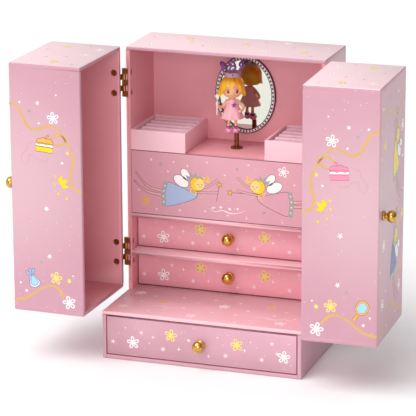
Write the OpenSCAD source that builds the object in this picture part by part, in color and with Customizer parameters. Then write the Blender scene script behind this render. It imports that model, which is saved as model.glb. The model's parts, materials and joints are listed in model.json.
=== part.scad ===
// Musical jewellery box shaped like a small wardrobe. Two deep hinged wings close over a mirrored
// stage, a turning doll and two small drawers, and a wide base holds a third drawer.
// The frame's origin is the centre of the underside. The front faces -Y and +Z is up.

/* [Cabinet] */
// Outside width of the cabinet and of its base
cabinet_w = 200; // [190:1:240]
// Outside depth of the upper cabinet
cabinet_d = 70; // [66:1:90]
// Outside height, table to top
cabinet_h = 292; // [285:1:360]
// Thickness of the paper-covered boards
board = 4; // [3.6:0.1:5]
// Distance that the base stands out in front of the cabinet
base_reach = 73; // [60:1:90]
// Height of the base, up to the top of its deck
base_h = 48; // [40:1:60]

/* [Wings] */
// Depth of each wing, open rim to front panel
wing_d = 72.5; // [50:0.5:90]
// Gap between the two closed wings
meeting_gap = 0.8; // [0.6:0.1:2]
// Gap between a closed wing's rim and the cabinet's front edge
rim_gap = 1; // [1:0.1:1.5]
// Gap between a wing and the base's deck
deck_gap = 1; // [0.8:0.1:3]
// Angle at which the wings stand open
open_angle = 91.5; // [0:0.5:150]
// Distance of a wing's knob from its meeting edge
wing_knob_inset = 17; // [10:1:30]

/* [Hinges] */
// Length of each hinge barrel
hinge_l = 28; // [20:1:40]
// Height of the lower hinges' middle
low_hinge_z = 86; // [80:1:110]
// Distance of the upper hinges' middle below the top
high_hinge_drop = 36; // [25:1:60]
// Radius of the hinge barrels
barrel_r = 2.2; // [2:0.1:2.3]
// Radius of the hinge pins
pin_r = 1; // [0.8:0.1:1.2]
// Thickness of the hinge leaves
leaf_t = 0.6; // [0.4:0.1:0.6]
// Depth that a leaf reaches into its board
leaf_reach = 12; // [10:1:16]
// Distance between the two screws of a leaf
hinge_screw_gap = 20; // [14:1:22]

/* [Stage] */
// Height of the stage above the table
stage_z = 190; // [185:1:240]
// Width of each ring tray
tray_w = 56; // [40:1:60]
// Height of the ring trays
tray_h = 20; // [14:1:26]
// Thickness of the trays' walls
tray_wall = 2.5; // [2:0.5:4]
// Number of padded ring rolls in each tray
roll_count = 5; // [3:1:6]
// Width of the oval mirror's frame
mirror_w = 62; // [50:1:70]
// Height of the oval mirror's frame
mirror_h = 78; // [60:1:84]
// Height of the mirror's middle above the stage
mirror_rise = 47; // [42:1:50]

/* [Drawers] */
// Height of the top edge of the shelf above the upper drawer
high_shelf_z = 126; // [120:1:130]
// Height of the top edge of the shelf between the drawers
low_shelf_z = 87.5; // [80:0.5:92]
// Thickness of the drawer shelves
shelf_t = 4.5; // [3:0.5:6]
// Distance of the upper drawers' fronts behind the cabinet's front edge
drawer_recess = 15; // [14:1:20]
// Gap all round each drawer front
drawer_gap = 0.6; // [0.4:0.1:1]
// Thickness of the drawer boxes' walls
drawer_wall = 2.5; // [2:0.5:3.5]
// Radius of the knobs' balls
knob_r = 6; // [4:0.5:6.5]

/* [Doll] */
// Distance of the turning spindle behind the cabinet's front edge
spindle_back = 37; // [34:1:40]
// Radius of the visible spindle tube
spindle_r = 2.25; // [1.8:0.05:3]
// Length of the spindle that shows between the stage and the doll
spindle_show = 15; // [8:1:24]
// Distance that the doll stands to the left of the spindle
doll_shift = 4.5; // [0:0.5:6]
// Height of the doll, shoes to crown
doll_h = 69; // [60:1:74]

/* [Music movement] */
// Height of the winding shaft
winder_z = 150; // [148:1:156]
// Radius of the pinned music cylinder
cylinder_r = 7; // [6:0.5:8]
// Length of the pinned music cylinder
cylinder_l = 28; // [24:1:28]
// Number of comb teeth
comb_teeth = 18; // [12:1:22]

/* [Hidden] */
$fn = 48;

// Cabinet planes
total_d = cabinet_d + base_reach;
base_front = -total_d / 2;
front = base_front + base_reach;
back = total_d / 2;
half_w = cabinet_w / 2;
inner_x = half_w - board;
inner_back = back - board;
top_under = cabinet_h - board;
deck_under = base_h - board;
eps = 0.01;

// Hinge lines: the pivot stands outside the cabinet's side and behind its front edge
pivot_out = 2.5;
pivot_x = half_w + pivot_out;
pivot_y = front + barrel_r - 0.85;
finger_y = pivot_y - barrel_r;
hinge_zs = [low_hinge_z, cabinet_h - high_hinge_drop];
knuckles = 5;
knuckle_l = hinge_l / knuckles;
knuckle_play = 0.15;
pin_fit = 0.05;
kerf_skin = 1.3;
kerf_w = leaf_t + 0.2;
kerf_x = half_w - kerf_skin - kerf_w;
kerf_play = 0.3;
hinge_screw_in = 5.7;
hinge_head_r = 2.5;
hinge_head_t = 1.2;
hinge_shank_r = 1;
hinge_shank_l = 1;
counterbore_r = 3.2;

// Wings, as they stand when closed
wing_x0 = meeting_gap / 2;
wing_rim = front - rim_gap;
wing_front = wing_rim - wing_d;
wing_z0 = base_h + deck_gap;
wing_mid_z = (wing_z0 + cabinet_h) / 2;
wing_wall_z0 = wing_z0 + board;
wing_wall_h = top_under - wing_wall_z0;

// Knobs and their screws
knob_neck_r = 2.6;
knob_foot_r = 3.8;
knob_foot_t = 1.2;
knob_reach = 7;
knob_screw_r = 1.2;
knob_screw_head_r = 3;
knob_screw_head_t = 1.4;
knob_hole_depth = 5;

// Drawer bays
drawer_y = front + drawer_recess;
box_end_gap = 1;
box_side_gap = 0.5;
box_top_gap = 3;
upper_bay = [low_shelf_z, high_shelf_z - shelf_t];
middle_bay = [base_h, low_shelf_z - shelf_t];
base_bay = [board, deck_under];

// Stage furniture
spindle_y = front + spindle_back;
tray_floor = 2;
roll_play = 0.3;
mirror_z = stage_z + mirror_rise;
mirror_t = 2.6;
mirror_lip = 1.2;
mirror_border = 4;
glass_t = 1.2;
glass_rim = 1.8;
glass_play = 0.15;

// Music movement
movement_play = 0.05;
tooth_t = 0.5;
addendum = 0.5;
tooth_clear = 0.3;
crown_r = 12;
pinion_r = 4;
crown_teeth = 36;
pinion_teeth = crown_teeth * pinion_r / crown_r;
crown_pitch_y = spindle_y + pinion_r;
crown_tip_y = crown_pitch_y - addendum;
crown_face_y = crown_pitch_y + addendum + tooth_clear;
crown_disc_t = 3;
crown_disc_y = crown_face_y + crown_disc_t;
mesh_half = 1;
barrel_wheel_r = 11;
arbor_r = 2;
flange_t = 3;
flange_y = inner_back - flange_t;
barrel_end_y = flange_y - 1.5;
bed_low_z = winder_z - 19;
bed_t = 3.5;
bed_x1 = 51;
bed_x0 = -8;
lug_t = 2;
lug_in_x = crown_r + mesh_half + addendum + 0.9;
lug_out_x = bed_x1 - lug_t;
cylinder_x = lug_in_x + lug_t + 0.6;
wheel_x = cylinder_x + cylinder_l + 1;
wheel_w = 2;
wheel_r = 12;
wheel_teeth = 40;
fly_r = 3;
fly_teeth = 10;
fly_z = winder_z + wheel_r + fly_r;
fly_blade_r = 7.5;
shaft_r = 1.5;
fly_shaft_r = 1;
pin_h = 0.5;
pin_turns = 3;
comb_tip_y = spindle_y - cylinder_r - pin_h - 0.3;
comb_tooth_l = 11;
comb_back = 9;
comb_t = 0.9;
comb_pitch = (cylinder_l - 2) / comb_teeth;
comb_z = winder_z - comb_t / 2;
spindle_foot_r = 1.2;
spindle_foot_z = winder_z + 3;
foot_block_z = winder_z + 7;
bush_r = 4;
bush_flange_r = 6;
bush_flange_t = 1.2;
back_screw_head_t = 1.6;
back_screw_r = 1.25;
back_screws = [[bed_x0 + 4, -12], [bed_x0 + 4, 12], [bed_x1 - 5, -12], [bed_x1 - 5, 12]];
key_gap = 1;
key_boss_r = 4;
key_boss_l = 8;
key_ear_r = 7;
key_ear_hole_r = 3.4;
key_ear_t = 1.8;

// Doll, in shares of its height that a small moulded figure has
doll_z = stage_z + spindle_show;
doll_x = -doll_shift;
shoe_h = doll_h * 0.075;
hem_z = doll_z + doll_h * 0.22;
chin_z = doll_z + doll_h * 0.475;
hair_z = doll_z + doll_h * 0.83;
hem_r = doll_h * 0.155;
head_r = doll_h * 0.155;
leg_gap = doll_h * 0.1;
leg_r = doll_h * 0.028;

// Paper and metal colours
paper = "#e8a9b8";
pale_paper = "#f3c9d3";
deep_paper = "#cf8391";
brass_colour = "#c9973f";
steel_colour = "#b9bbc0";

// ---- Shared shapes ----

// A box given by its low and high corners
module span(low, high) {
  translate(low)
    cube(high - low);
}

// A cylinder along Y, from y0 to y1
module rod_y(x, z, y0, y1, r) {
  translate([x, y0, z])
    rotate([-90, 0, 0])
      cylinder(r = r, h = y1 - y0);
}

// A cylinder along X, from x0 to x1
module rod_x(y, z, x0, x1, r) {
  translate([x0, y, z])
    rotate([0, 90, 0])
      cylinder(r = r, h = x1 - x0);
}

// A cylinder along Z, from z0 to z1
module rod_z(x, y, z0, z1, r) {
  translate([x, y, z0])
    cylinder(r = r, h = z1 - z0);
}

// Draws right-hand geometry on either side of the box
module on_side(side) {
  mirror([side < 0 ? 1 : 0, 0, 0])
    children();
}

// Puts a closed wing's geometry where the wing stands open
module opened(side) {
  on_side(side)
    translate([pivot_x, pivot_y, 0])
      rotate([0, 0, open_angle])
        translate([-pivot_x, -pivot_y, 0])
          children();
}

// Outline of a wheel with straight-sided teeth, the first one centred on turn degrees
function wheel_points(teeth, root, tip, width, turn) = [
  for (i = [0:teeth - 1], corner = [[root, -1], [tip, -1], [tip, 1], [root, 1]])
    let (a = turn + i * 360 / teeth + corner[1] * asin(width / 2 / corner[0]))
      [corner[0] * cos(a), corner[0] * sin(a)]
];

// A toothed wheel along Z
module toothed(teeth, pitch_radius, turn, width) {
  root = pitch_radius - addendum - tooth_clear;
  linear_extrude(width)
    polygon(wheel_points(teeth, root, pitch_radius + addendum, tooth_t, turn));
}

// Points of an ellipse with half axes a and b
function ellipse_points(a, b, count = 96) = [
  for (i = [0:count - 1]) [a * cos(i * 360 / count), b * sin(i * 360 / count)]
];

// An oval plate against the back panel, from y0 to y1
module oval_plate(half_x, half_z, y0, y1) {
  translate([0, y1, mirror_z])
    rotate([90, 0, 0])
      linear_extrude(y1 - y0)
        polygon(ellipse_points(half_x, half_z));
}

// ---- Cabinet boards ----

// Slots and screw holes for the hinge leaves of one upright board, mouth at y = edge.
// toward is 1 where the leaf reaches backwards and -1 where it reaches forwards.
module hinge_cuts(edge, toward) {
  far = edge + toward * (leaf_reach + kerf_play);
  screw_y = edge + toward * hinge_screw_in;
  for (z = hinge_zs) {
    span([kerf_x, min(edge, far), z - hinge_l / 2 - kerf_play],
         [kerf_x + kerf_w, max(edge, far), z + hinge_l / 2 + kerf_play]);
    for (end = [-1, 1]) {
      hole_z = z + end * hinge_screw_gap / 2;
      rod_x(screw_y, hole_z, inner_x - eps, kerf_x + eps, counterbore_r);
      rod_x(screw_y, hole_z, kerf_x, kerf_x + kerf_w + hinge_shank_l, hinge_shank_r);
    }
  }
}

module side_panel(side) {
  on_side(side)
    difference() {
      union() {
        span([inner_x, base_front, 0], [half_w, back, deck_under]);
        span([inner_x, front, 0], [half_w, back, top_under]);
      }
      hinge_cuts(front, 1);
    }
}

module left_side_panel() {
  color(paper)
    side_panel(-1);
}

module right_side_panel() {
  color(paper)
    side_panel(1);
}

module top_panel() {
  color(pale_paper)
    span([-half_w, front, top_under], [half_w, back, cabinet_h]);
}

module back_panel() {
  color(deep_paper)
    difference() {
      span([-inner_x, inner_back, 0], [inner_x, back, top_under]);
      rod_y(0, winder_z, inner_back - eps, back + eps, arbor_r + 1);
      for (p = back_screws)
        rod_y(p[0], winder_z + p[1], inner_back - eps, back + eps, back_screw_r);
    }
}

module floor_panel() {
  color(paper)
    span([-inner_x, base_front, 0], [inner_x, inner_back, board]);
}

module deck_panel() {
  color(paper)
    union() {
      span([-half_w, base_front, deck_under], [half_w, front, base_h]);
      span([-inner_x, front - eps, deck_under], [inner_x, inner_back, base_h]);
    }
}

module drawer_shelves() {
  color(paper)
    for (z = [low_shelf_z, high_shelf_z])
      span([-inner_x, front, z - shelf_t], [inner_x, inner_back, z]);
}

module stage_panel() {
  color(paper)
    difference() {
      span([-inner_x, front + board, stage_z - board], [inner_x, inner_back, stage_z]);
      rod_z(0, spindle_y, stage_z - board - eps, stage_z + eps, bush_r);
    }
}

module fascia_panel() {
  color(paper)
    span([-inner_x, front, high_shelf_z], [inner_x, front + board, stage_z]);
}

// ---- Stage furniture ----

module ring_trays() {
  color(pale_paper)
    for (side = [-1, 1])
      on_side(side)
        difference() {
          span([inner_x - tray_w, front, stage_z], [inner_x, inner_back, stage_z + tray_h]);
          span([inner_x - tray_w + tray_wall, front + tray_wall, stage_z + tray_floor],
               [inner_x - tray_wall, inner_back - tray_wall, stage_z + tray_h + eps]);
        }
}

// One padded roll: a round top on a flat-sided foot
module ring_roll(x0, x1, y, pitch) {
  r = pitch / 2 - roll_play / 2;
  crest = stage_z + tray_h - r - 1;
  rod_x(y, crest, x0, x1, r);
  span([x0, y - r, stage_z + tray_floor], [x1, y + r, crest]);
}

module ring_rolls() {
  length_y = inner_back - front - 2 * tray_wall - roll_play;
  pitch = length_y / roll_count;
  color("#f6dbe3")
    for (side = [-1, 1], i = [0:roll_count - 1])
      on_side(side)
        ring_roll(inner_x - tray_w + tray_wall + roll_play, inner_x - tray_wall - roll_play,
                  front + tray_wall + roll_play / 2 + (i + 0.5) * pitch, pitch);
}

module mirror_frame() {
  color("#4a2230")
    difference() {
      oval_plate(mirror_w / 2, mirror_h / 2, inner_back - mirror_t, inner_back);
      oval_plate(mirror_w / 2 - mirror_border, mirror_h / 2 - mirror_border,
                 inner_back - mirror_t - eps, inner_back + eps);
      oval_plate(mirror_w / 2 - glass_rim, mirror_h / 2 - glass_rim,
                 inner_back - mirror_t + mirror_lip, inner_back + eps);
    }
}

module mirror_glass() {
  rim = glass_rim + glass_play;
  color("#dfe5e2")
    oval_plate(mirror_w / 2 - rim, mirror_h / 2 - rim, inner_back - glass_t, inner_back);
}

// ---- Hinges ----

// One leaf with its knuckles. It is slotted into a board whose edge is at y = edge.
module hinge_leaf(z, first, edge, toward) {
  x0 = kerf_x + (kerf_w - leaf_t) / 2;
  far = edge + toward * leaf_reach;
  difference() {
    union() {
      span([x0, min(edge, far), z - hinge_l / 2], [x0 + leaf_t, max(edge, far), z + hinge_l / 2]);
      for (i = [first:2:knuckles - 1]) {
        z0 = z - hinge_l / 2 + i * knuckle_l + knuckle_play;
        z1 = z0 + knuckle_l - 2 * knuckle_play;
        rod_z(pivot_x, pivot_y, z0, z1, barrel_r);
        span([x0, finger_y, z0], [pivot_x, finger_y + leaf_t, z1]);
        span([x0, min(edge, finger_y), z0], [x0 + leaf_t, max(edge, finger_y + leaf_t), z1]);
      }
    }
    rod_z(pivot_x, pivot_y, z - hinge_l, z + hinge_l, pin_r + pin_fit);
    for (end = [-1, 1])
      rod_x(edge + toward * hinge_screw_in, z + end * hinge_screw_gap / 2,
            x0 - eps, x0 + leaf_t + eps, hinge_shank_r);
  }
}

// The two screws of one leaf, driven from inside the board
module hinge_screw_pair(z, edge, toward) {
  x0 = kerf_x + (kerf_w - leaf_t) / 2;
  for (end = [-1, 1]) {
    y = edge + toward * hinge_screw_in;
    hole_z = z + end * hinge_screw_gap / 2;
    difference() {
      union() {
        rod_x(y, hole_z, x0 - hinge_head_t, x0, hinge_head_r);
        rod_x(y, hole_z, x0 - eps, kerf_x + kerf_w + hinge_shank_l - 0.1, hinge_shank_r);
      }
      span([x0 - hinge_head_t - eps, y - hinge_head_r, hole_z - 0.3],
           [x0 - hinge_head_t + 0.5, y + hinge_head_r, hole_z + 0.3]);
    }
  }
}

module hinge_cabinet_leaves() {
  color(brass_colour)
    for (side = [-1, 1], z = hinge_zs)
      on_side(side)
        hinge_leaf(z, 0, front, 1);
}

module hinge_pins() {
  color(brass_colour)
    for (side = [-1, 1], z = hinge_zs)
      on_side(side)
        rod_z(pivot_x, pivot_y, z - hinge_l / 2, z + hinge_l / 2, pin_r);
}

module hinge_cabinet_screws() {
  color(brass_colour)
    for (side = [-1, 1], z = hinge_zs)
      on_side(side)
        hinge_screw_pair(z, front, 1);
}

// ---- Knobs ----

// A turned ball knob along -Y, its foot on the plane y = 0
module knob_shape() {
  ball_y = -knob_reach;
  difference() {
    union() {
      rod_y(0, 0, -knob_foot_t, 0, knob_foot_r);
      rod_y(0, 0, ball_y, 0, knob_neck_r);
      translate([0, ball_y, 0])
        sphere(r = knob_r);
    }
    rod_y(0, 0, -knob_hole_depth, eps, knob_screw_r);
  }
}

// The screw that holds a knob, through a board of the given thickness
module knob_screw_shape(thick) {
  rod_y(0, 0, -knob_hole_depth + 0.3, thick, knob_screw_r);
  rod_y(0, 0, thick, thick + knob_screw_head_t, knob_screw_head_r);
}

// ---- Wings ----

module wing_outer_wall(side) {
  color(paper)
    opened(side)
      difference() {
        span([inner_x, wing_front, wing_wall_z0], [half_w, wing_rim, wing_wall_z0 + wing_wall_h]);
        hinge_cuts(wing_rim, -1);
      }
}

module wing_front_panel(side) {
  color(paper)
    opened(side)
      difference() {
        span([wing_x0 + board, wing_front, wing_wall_z0],
             [inner_x, wing_front + board, wing_wall_z0 + wing_wall_h]);
        rod_y(wing_knob_inset, wing_mid_z, wing_front - eps, wing_front + board + eps,
              knob_screw_r);
      }
}

module wing_meeting_wall(side) {
  color(paper)
    opened(side)
      span([wing_x0, wing_front, wing_wall_z0],
           [wing_x0 + board, wing_rim, wing_wall_z0 + wing_wall_h]);
}

module wing_end_panels(side) {
  color(pale_paper)
    opened(side)
      for (z = [wing_z0, top_under])
        span([wing_x0, wing_front, z], [half_w, wing_rim, z + board]);
}

module wing_knob(side) {
  color(brass_colour)
    opened(side)
      translate([wing_knob_inset, wing_front, wing_mid_z])
        knob_shape();
}

module wing_knob_screw(side) {
  color(steel_colour)
    opened(side)
      translate([wing_knob_inset, wing_front, wing_mid_z])
        knob_screw_shape(board);
}

module wing_hinge_leaves(side) {
  color(brass_colour)
    opened(side)
      for (z = hinge_zs)
        hinge_leaf(z, 1, wing_rim, -1);
}

module wing_hinge_screws(side) {
  color(brass_colour)
    opened(side)
      for (z = hinge_zs)
        hinge_screw_pair(z, wing_rim, -1);
}

// A rail with pegs for necklaces, high on the inside of the front panel
module wing_hooks(side) {
  rail_margin = 14;
  rail_x0 = wing_x0 + board + rail_margin;
  rail_x1 = inner_x - rail_margin;
  rail_y = wing_front + board;
  rail_t = 3;
  rail_z = top_under - 32;
  peg_count = 5;
  peg_r = 1.6;
  peg_l = 12;
  color("#f6dbe3")
    opened(side)
      union() {
        span([rail_x0, rail_y, rail_z], [rail_x1, rail_y + rail_t, rail_z + 10]);
        for (i = [0:peg_count - 1]) {
          x = rail_x0 + (i + 0.5) * (rail_x1 - rail_x0) / peg_count;
          rod_y(x, rail_z + 5, rail_y + rail_t - eps, rail_y + rail_t + peg_l, peg_r);
          rod_y(x, rail_z + 5, rail_y + rail_t + peg_l - 1.5, rail_y + rail_t + peg_l, 2.4);
        }
      }
}

module left_wing_outer_wall() { wing_outer_wall(-1); }
module left_wing_front_panel() { wing_front_panel(-1); }
module left_wing_meeting_wall() { wing_meeting_wall(-1); }
module left_wing_end_panels() { wing_end_panels(-1); }
module left_wing_knob() { wing_knob(-1); }
module left_wing_knob_screw() { wing_knob_screw(-1); }
module left_wing_hinge_leaves() { wing_hinge_leaves(-1); }
module left_wing_hinge_screws() { wing_hinge_screws(-1); }
module left_wing_hooks() { wing_hooks(-1); }
module right_wing_outer_wall() { wing_outer_wall(1); }
module right_wing_front_panel() { wing_front_panel(1); }
module right_wing_meeting_wall() { wing_meeting_wall(1); }
module right_wing_end_panels() { wing_end_panels(1); }
module right_wing_knob() { wing_knob(1); }
module right_wing_knob_screw() { wing_knob_screw(1); }
module right_wing_hinge_leaves() { wing_hinge_leaves(1); }
module right_wing_hinge_screws() { wing_hinge_screws(1); }
module right_wing_hooks() { wing_hooks(1); }

// ---- Drawers ----

// The front board of the drawer that fills a bay, its face at y = face
module drawer_front(bay, face) {
  color(paper)
    difference() {
      span([-inner_x + drawer_gap, face, bay[0] + drawer_gap],
           [inner_x - drawer_gap, face + board, bay[1] - drawer_gap]);
      rod_y(0, (bay[0] + bay[1]) / 2, face - eps, face + board + eps, knob_screw_r);
    }
}

// The open-topped box behind that front. Its front wall clears the knob screw's head.
module drawer_box(bay, face) {
  x1 = inner_x - box_side_gap;
  y0 = face + board;
  y1 = inner_back - box_end_gap;
  z0 = bay[0] + drawer_gap;
  z1 = bay[1] - box_top_gap;
  color(pale_paper)
    difference() {
      span([-x1, y0, z0], [x1, y1, z1]);
      span([-x1 + drawer_wall, y0 + drawer_wall, z0 + drawer_wall],
           [x1 - drawer_wall, y1 - drawer_wall, z1 + eps]);
      rod_y(0, (bay[0] + bay[1]) / 2, y0 - eps, y0 + drawer_wall + eps, knob_screw_r);
    }
}

module drawer_knob(bay, face) {
  color(brass_colour)
    translate([0, face, (bay[0] + bay[1]) / 2])
      knob_shape();
}

module drawer_knob_screw(bay, face) {
  color(steel_colour)
    translate([0, face, (bay[0] + bay[1]) / 2])
      knob_screw_shape(board + drawer_wall);
}

module upper_drawer_box() { drawer_box(upper_bay, drawer_y); }
module upper_drawer_front() { drawer_front(upper_bay, drawer_y); }
module upper_drawer_knob() { drawer_knob(upper_bay, drawer_y); }
module upper_drawer_knob_screw() { drawer_knob_screw(upper_bay, drawer_y); }
module middle_drawer_box() { drawer_box(middle_bay, drawer_y); }
module middle_drawer_front() { drawer_front(middle_bay, drawer_y); }
module middle_drawer_knob() { drawer_knob(middle_bay, drawer_y); }
module middle_drawer_knob_screw() { drawer_knob_screw(middle_bay, drawer_y); }
module base_drawer_box() { drawer_box(base_bay, base_front); }
module base_drawer_front() { drawer_front(base_bay, base_front); }
module base_drawer_knob() { drawer_knob(base_bay, base_front); }
module base_drawer_knob_screw() { drawer_knob_screw(base_bay, base_front); }

// ---- Music movement ----

// The cast frame: a flange on the back panel, a floor, two lugs, a comb seat and a foot block
module movement_bedplate() {
  bed_top = bed_low_z + bed_t;
  lug_half = 6;
  seat_y = comb_tip_y - comb_tooth_l;
  color(steel_colour)
    difference() {
      union() {
        span([bed_x0, flange_y, bed_low_z], [bed_x1, inner_back, winder_z + 18]);
        span([bed_x0, seat_y - comb_back, bed_low_z], [bed_x1, flange_y + eps, bed_top]);
        span([lug_in_x, spindle_y - lug_half, bed_top - eps],
             [lug_in_x + lug_t, flange_y + eps, winder_z + lug_half]);
        span([lug_out_x, spindle_y - lug_half, bed_top - eps],
             [lug_out_x + lug_t, flange_y + eps, fly_z + 4]);
        span([cylinder_x - 1, seat_y - comb_back, bed_top - eps],
             [wheel_x - 1, seat_y, comb_z]);
        span([-4, spindle_y - 4, bed_top - eps], [4, spindle_y + 2.7, foot_block_z]);
      }
      rod_y(0, winder_z, flange_y - eps, inner_back + eps, arbor_r + movement_play);
      rod_x(spindle_y, winder_z, lug_in_x - eps, bed_x1 + eps, shaft_r + movement_play);
      rod_x(spindle_y, fly_z, lug_out_x - eps, bed_x1 + eps, fly_shaft_r + movement_play);
      rod_z(0, spindle_y, spindle_foot_z - 0.3, foot_block_z + eps,
            spindle_foot_r + movement_play);
      for (p = back_screws)
        rod_y(p[0], winder_z + p[1], flange_y - eps, inner_back + eps, back_screw_r);
      for (x = comb_screw_xs())
        rod_z(x, seat_y - comb_back / 2, comb_z - 4, comb_z + eps, back_screw_r);
    }
}

function comb_screw_xs() = [cylinder_x + 5, cylinder_x + cylinder_l - 5];

// Steel comb: a back bar with one tooth for each track of the cylinder
module movement_comb() {
  root_y = comb_tip_y - comb_tooth_l;
  tooth_w = comb_pitch * 0.65;
  color("#d7d9dd")
    difference() {
      union() {
        span([cylinder_x, root_y - comb_back, comb_z],
             [cylinder_x + cylinder_l, root_y, comb_z + comb_t]);
        for (i = [0:comb_teeth - 1]) {
          x = cylinder_x + 1 + (i + 0.5) * comb_pitch;
          span([x - tooth_w / 2, root_y - eps, comb_z], [x + tooth_w / 2, comb_tip_y, comb_z + comb_t]);
        }
      }
      for (x = comb_screw_xs())
        rod_z(x, root_y - comb_back / 2, comb_z - eps, comb_z + comb_t + eps, back_screw_r);
    }
}

// Four screws through the back panel and two that hold the comb
module movement_screws() {
  seat_y = comb_tip_y - comb_tooth_l - comb_back / 2;
  color(steel_colour) {
    for (p = back_screws) {
      rod_y(p[0], winder_z + p[1], flange_y + 0.2, back, back_screw_r);
      rod_y(p[0], winder_z + p[1], back, back + back_screw_head_t, 2 * back_screw_r);
    }
    for (x = comb_screw_xs()) {
      rod_z(x, seat_y, comb_z - 3.7, comb_z + comb_t, back_screw_r);
      rod_z(x, seat_y, comb_z + comb_t, comb_z + comb_t + 1.4, 2 * back_screw_r);
    }
  }
}

module spindle_bush() {
  color(brass_colour)
    difference() {
      union() {
        rod_z(0, spindle_y, stage_z - board, stage_z, bush_r);
        rod_z(0, spindle_y, stage_z, stage_z + bush_flange_t, bush_flange_r);
      }
      rod_z(0, spindle_y, stage_z - board - eps, stage_z + bush_flange_t + eps,
            spindle_r + movement_play);
    }
}

// Spring barrel with the crown wheel on its face and the winding arbor behind it
module spring_barrel() {
  teeth_h = crown_face_y - crown_tip_y;
  color(brass_colour)
    union() {
      translate([0, crown_face_y, winder_z])
        rotate([90, 0, 0])
          linear_extrude(teeth_h)
            polygon(wheel_points(crown_teeth, crown_r - mesh_half - 0.6, crown_r + mesh_half,
                                 tooth_t, 180 / crown_teeth));
      rod_y(0, winder_z, crown_face_y - eps, crown_disc_y, crown_r + mesh_half + 0.4);
      rod_y(0, winder_z, crown_disc_y - eps, barrel_end_y, barrel_wheel_r);
      rod_y(0, winder_z, barrel_end_y - eps, back + key_gap + key_boss_l - 1, arbor_r);
    }
}

// Two-eared key on the end of the arbor, behind the back panel
module winding_key() {
  boss_y = back + key_gap;
  ear_y = boss_y + key_boss_l;
  color(brass_colour)
    difference() {
      union() {
        rod_y(0, winder_z, boss_y, boss_y + key_boss_l + 1, key_boss_r);
        translate([0, ear_y, winder_z - key_ear_t / 2])
          linear_extrude(key_ear_t)
            for (side = [-1, 1])
              difference() {
                translate([side * (key_ear_r + 2), 0])
                  circle(r = key_ear_r);
                translate([side * (key_ear_r + 2.6), 0])
                  circle(r = key_ear_hole_r);
              }
      }
      rod_y(0, winder_z, boss_y - eps, boss_y + key_boss_l - 1, arbor_r);
    }
}

// Pinned cylinder on its shaft, with the driving pinion and the wheel that drives the fly
module music_cylinder() {
  color(brass_colour)
    union() {
      rod_x(spindle_y, winder_z, crown_r - mesh_half - 0.4, bed_x1 + 0.6, shaft_r);
      translate([crown_r - mesh_half, spindle_y, winder_z])
        rotate([0, 90, 0])
          toothed(pinion_teeth, pinion_r, 0, 2 * mesh_half);
      rod_x(spindle_y, winder_z, cylinder_x, cylinder_x + cylinder_l, cylinder_r);
      translate([wheel_x, spindle_y, winder_z])
        rotate([0, 90, 0])
          toothed(wheel_teeth, wheel_r, 180 / wheel_teeth, wheel_w);
      for (i = [0:comb_teeth - 1], k = [0:pin_turns - 1])
        translate([cylinder_x + 1 + (i + 0.5) * comb_pitch, spindle_y, winder_z])
          rotate([i * 137 + k * 360 / pin_turns, 0, 0])
            cylinder(r = 0.25, h = cylinder_r + pin_h);
    }
}

// Air brake: a pinion, a thin shaft and two flat blades
module governor_fly() {
  blade_x = bed_x1 + 1.5;
  blade_l = 8;
  blade_t = 0.6;
  color(brass_colour)
    union() {
      rod_x(spindle_y, fly_z, wheel_x - 0.6, blade_x + blade_l, fly_shaft_r);
      translate([wheel_x, spindle_y, fly_z])
        rotate([0, 90, 0])
          toothed(fly_teeth, fly_r, 0, wheel_w);
      span([blade_x, spindle_y - blade_t / 2, fly_z - fly_blade_r],
           [blade_x + blade_l, spindle_y + blade_t / 2, fly_z + fly_blade_r]);
    }
}

// Upright spindle: a pivot foot, the pinion on the crown wheel and the tube up to the doll
module doll_spindle() {
  pinion_z = winder_z + crown_r - mesh_half;
  color(brass_colour)
    union() {
      rod_z(0, spindle_y, spindle_foot_z, pinion_z + eps, spindle_foot_r);
      translate([0, spindle_y, pinion_z])
        toothed(pinion_teeth, pinion_r, 0, 2 * mesh_half);
      rod_z(0, spindle_y, pinion_z + 2 * mesh_half - eps, doll_z, spindle_r);
    }
}

// ---- Doll ----

module doll_legs() {
  color("#eab38a")
    for (side = [-1, 1])
      translate([doll_x + side * leg_gap / 2, spindle_y, 0]) {
        rod_z(0, 0, doll_z + shoe_h / 2, hem_z, leg_r);
        intersection() {
          translate([0, -1, doll_z])
            rod_z(0, 0, 0, shoe_h, leg_r * 1.7);
          translate([0, -1, doll_z])
            sphere(r = shoe_h);
        }
      }
}

// Flared dress with one arm out to the side and one hand on the hip
module doll_dress() {
  neck_r = doll_h * 0.05;
  color("#f2b6c4")
    translate([doll_x, spindle_y, hem_z])
      union() {
        rotate_extrude()
          polygon([[0, 0], [hem_r, 0], [hem_r, 1.2], [hem_r * 0.62, doll_h * 0.13],
                   [hem_r * 0.5, doll_h * 0.2], [neck_r, chin_z - hem_z], [0, chin_z - hem_z]]);
        for (side = [-1, 1])
          translate([side * hem_r * 0.45, 0, doll_h * 0.21])
            rotate([0, side * 125, 0]) {
              cylinder(r = leg_r, h = doll_h * 0.125);
              translate([0, 0, doll_h * 0.125])
                sphere(r = leg_r);
            }
      }
}

// Head with a cap of bobbed hair
module doll_head() {
  hair_r = head_r + 1.2;
  color("#f2b14a")
    translate([doll_x, spindle_y, 0])
      union() {
        translate([0, 0, (chin_z + hair_z) / 2])
          sphere(r = (hair_z - chin_z) / 2);
        rod_z(0, 0, chin_z + 3, hair_z - head_r, hair_r);
      }
}

// Open crown: a thin ring that flares out from the hair
module doll_crown() {
  band_r = head_r * 0.78;
  rim_r = head_r * 1.08;
  wall = 1.2;
  band_z = hair_z - 2;
  top_z = doll_z + doll_h;
  color("#7b3f86")
    translate([doll_x, spindle_y, 0])
      rotate_extrude()
        polygon([[band_r - wall, band_z], [band_r, band_z], [band_r, band_z + 4], [rim_r, top_z],
                 [rim_r - wall, top_z], [band_r - wall, band_z + 4]]);
}

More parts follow.
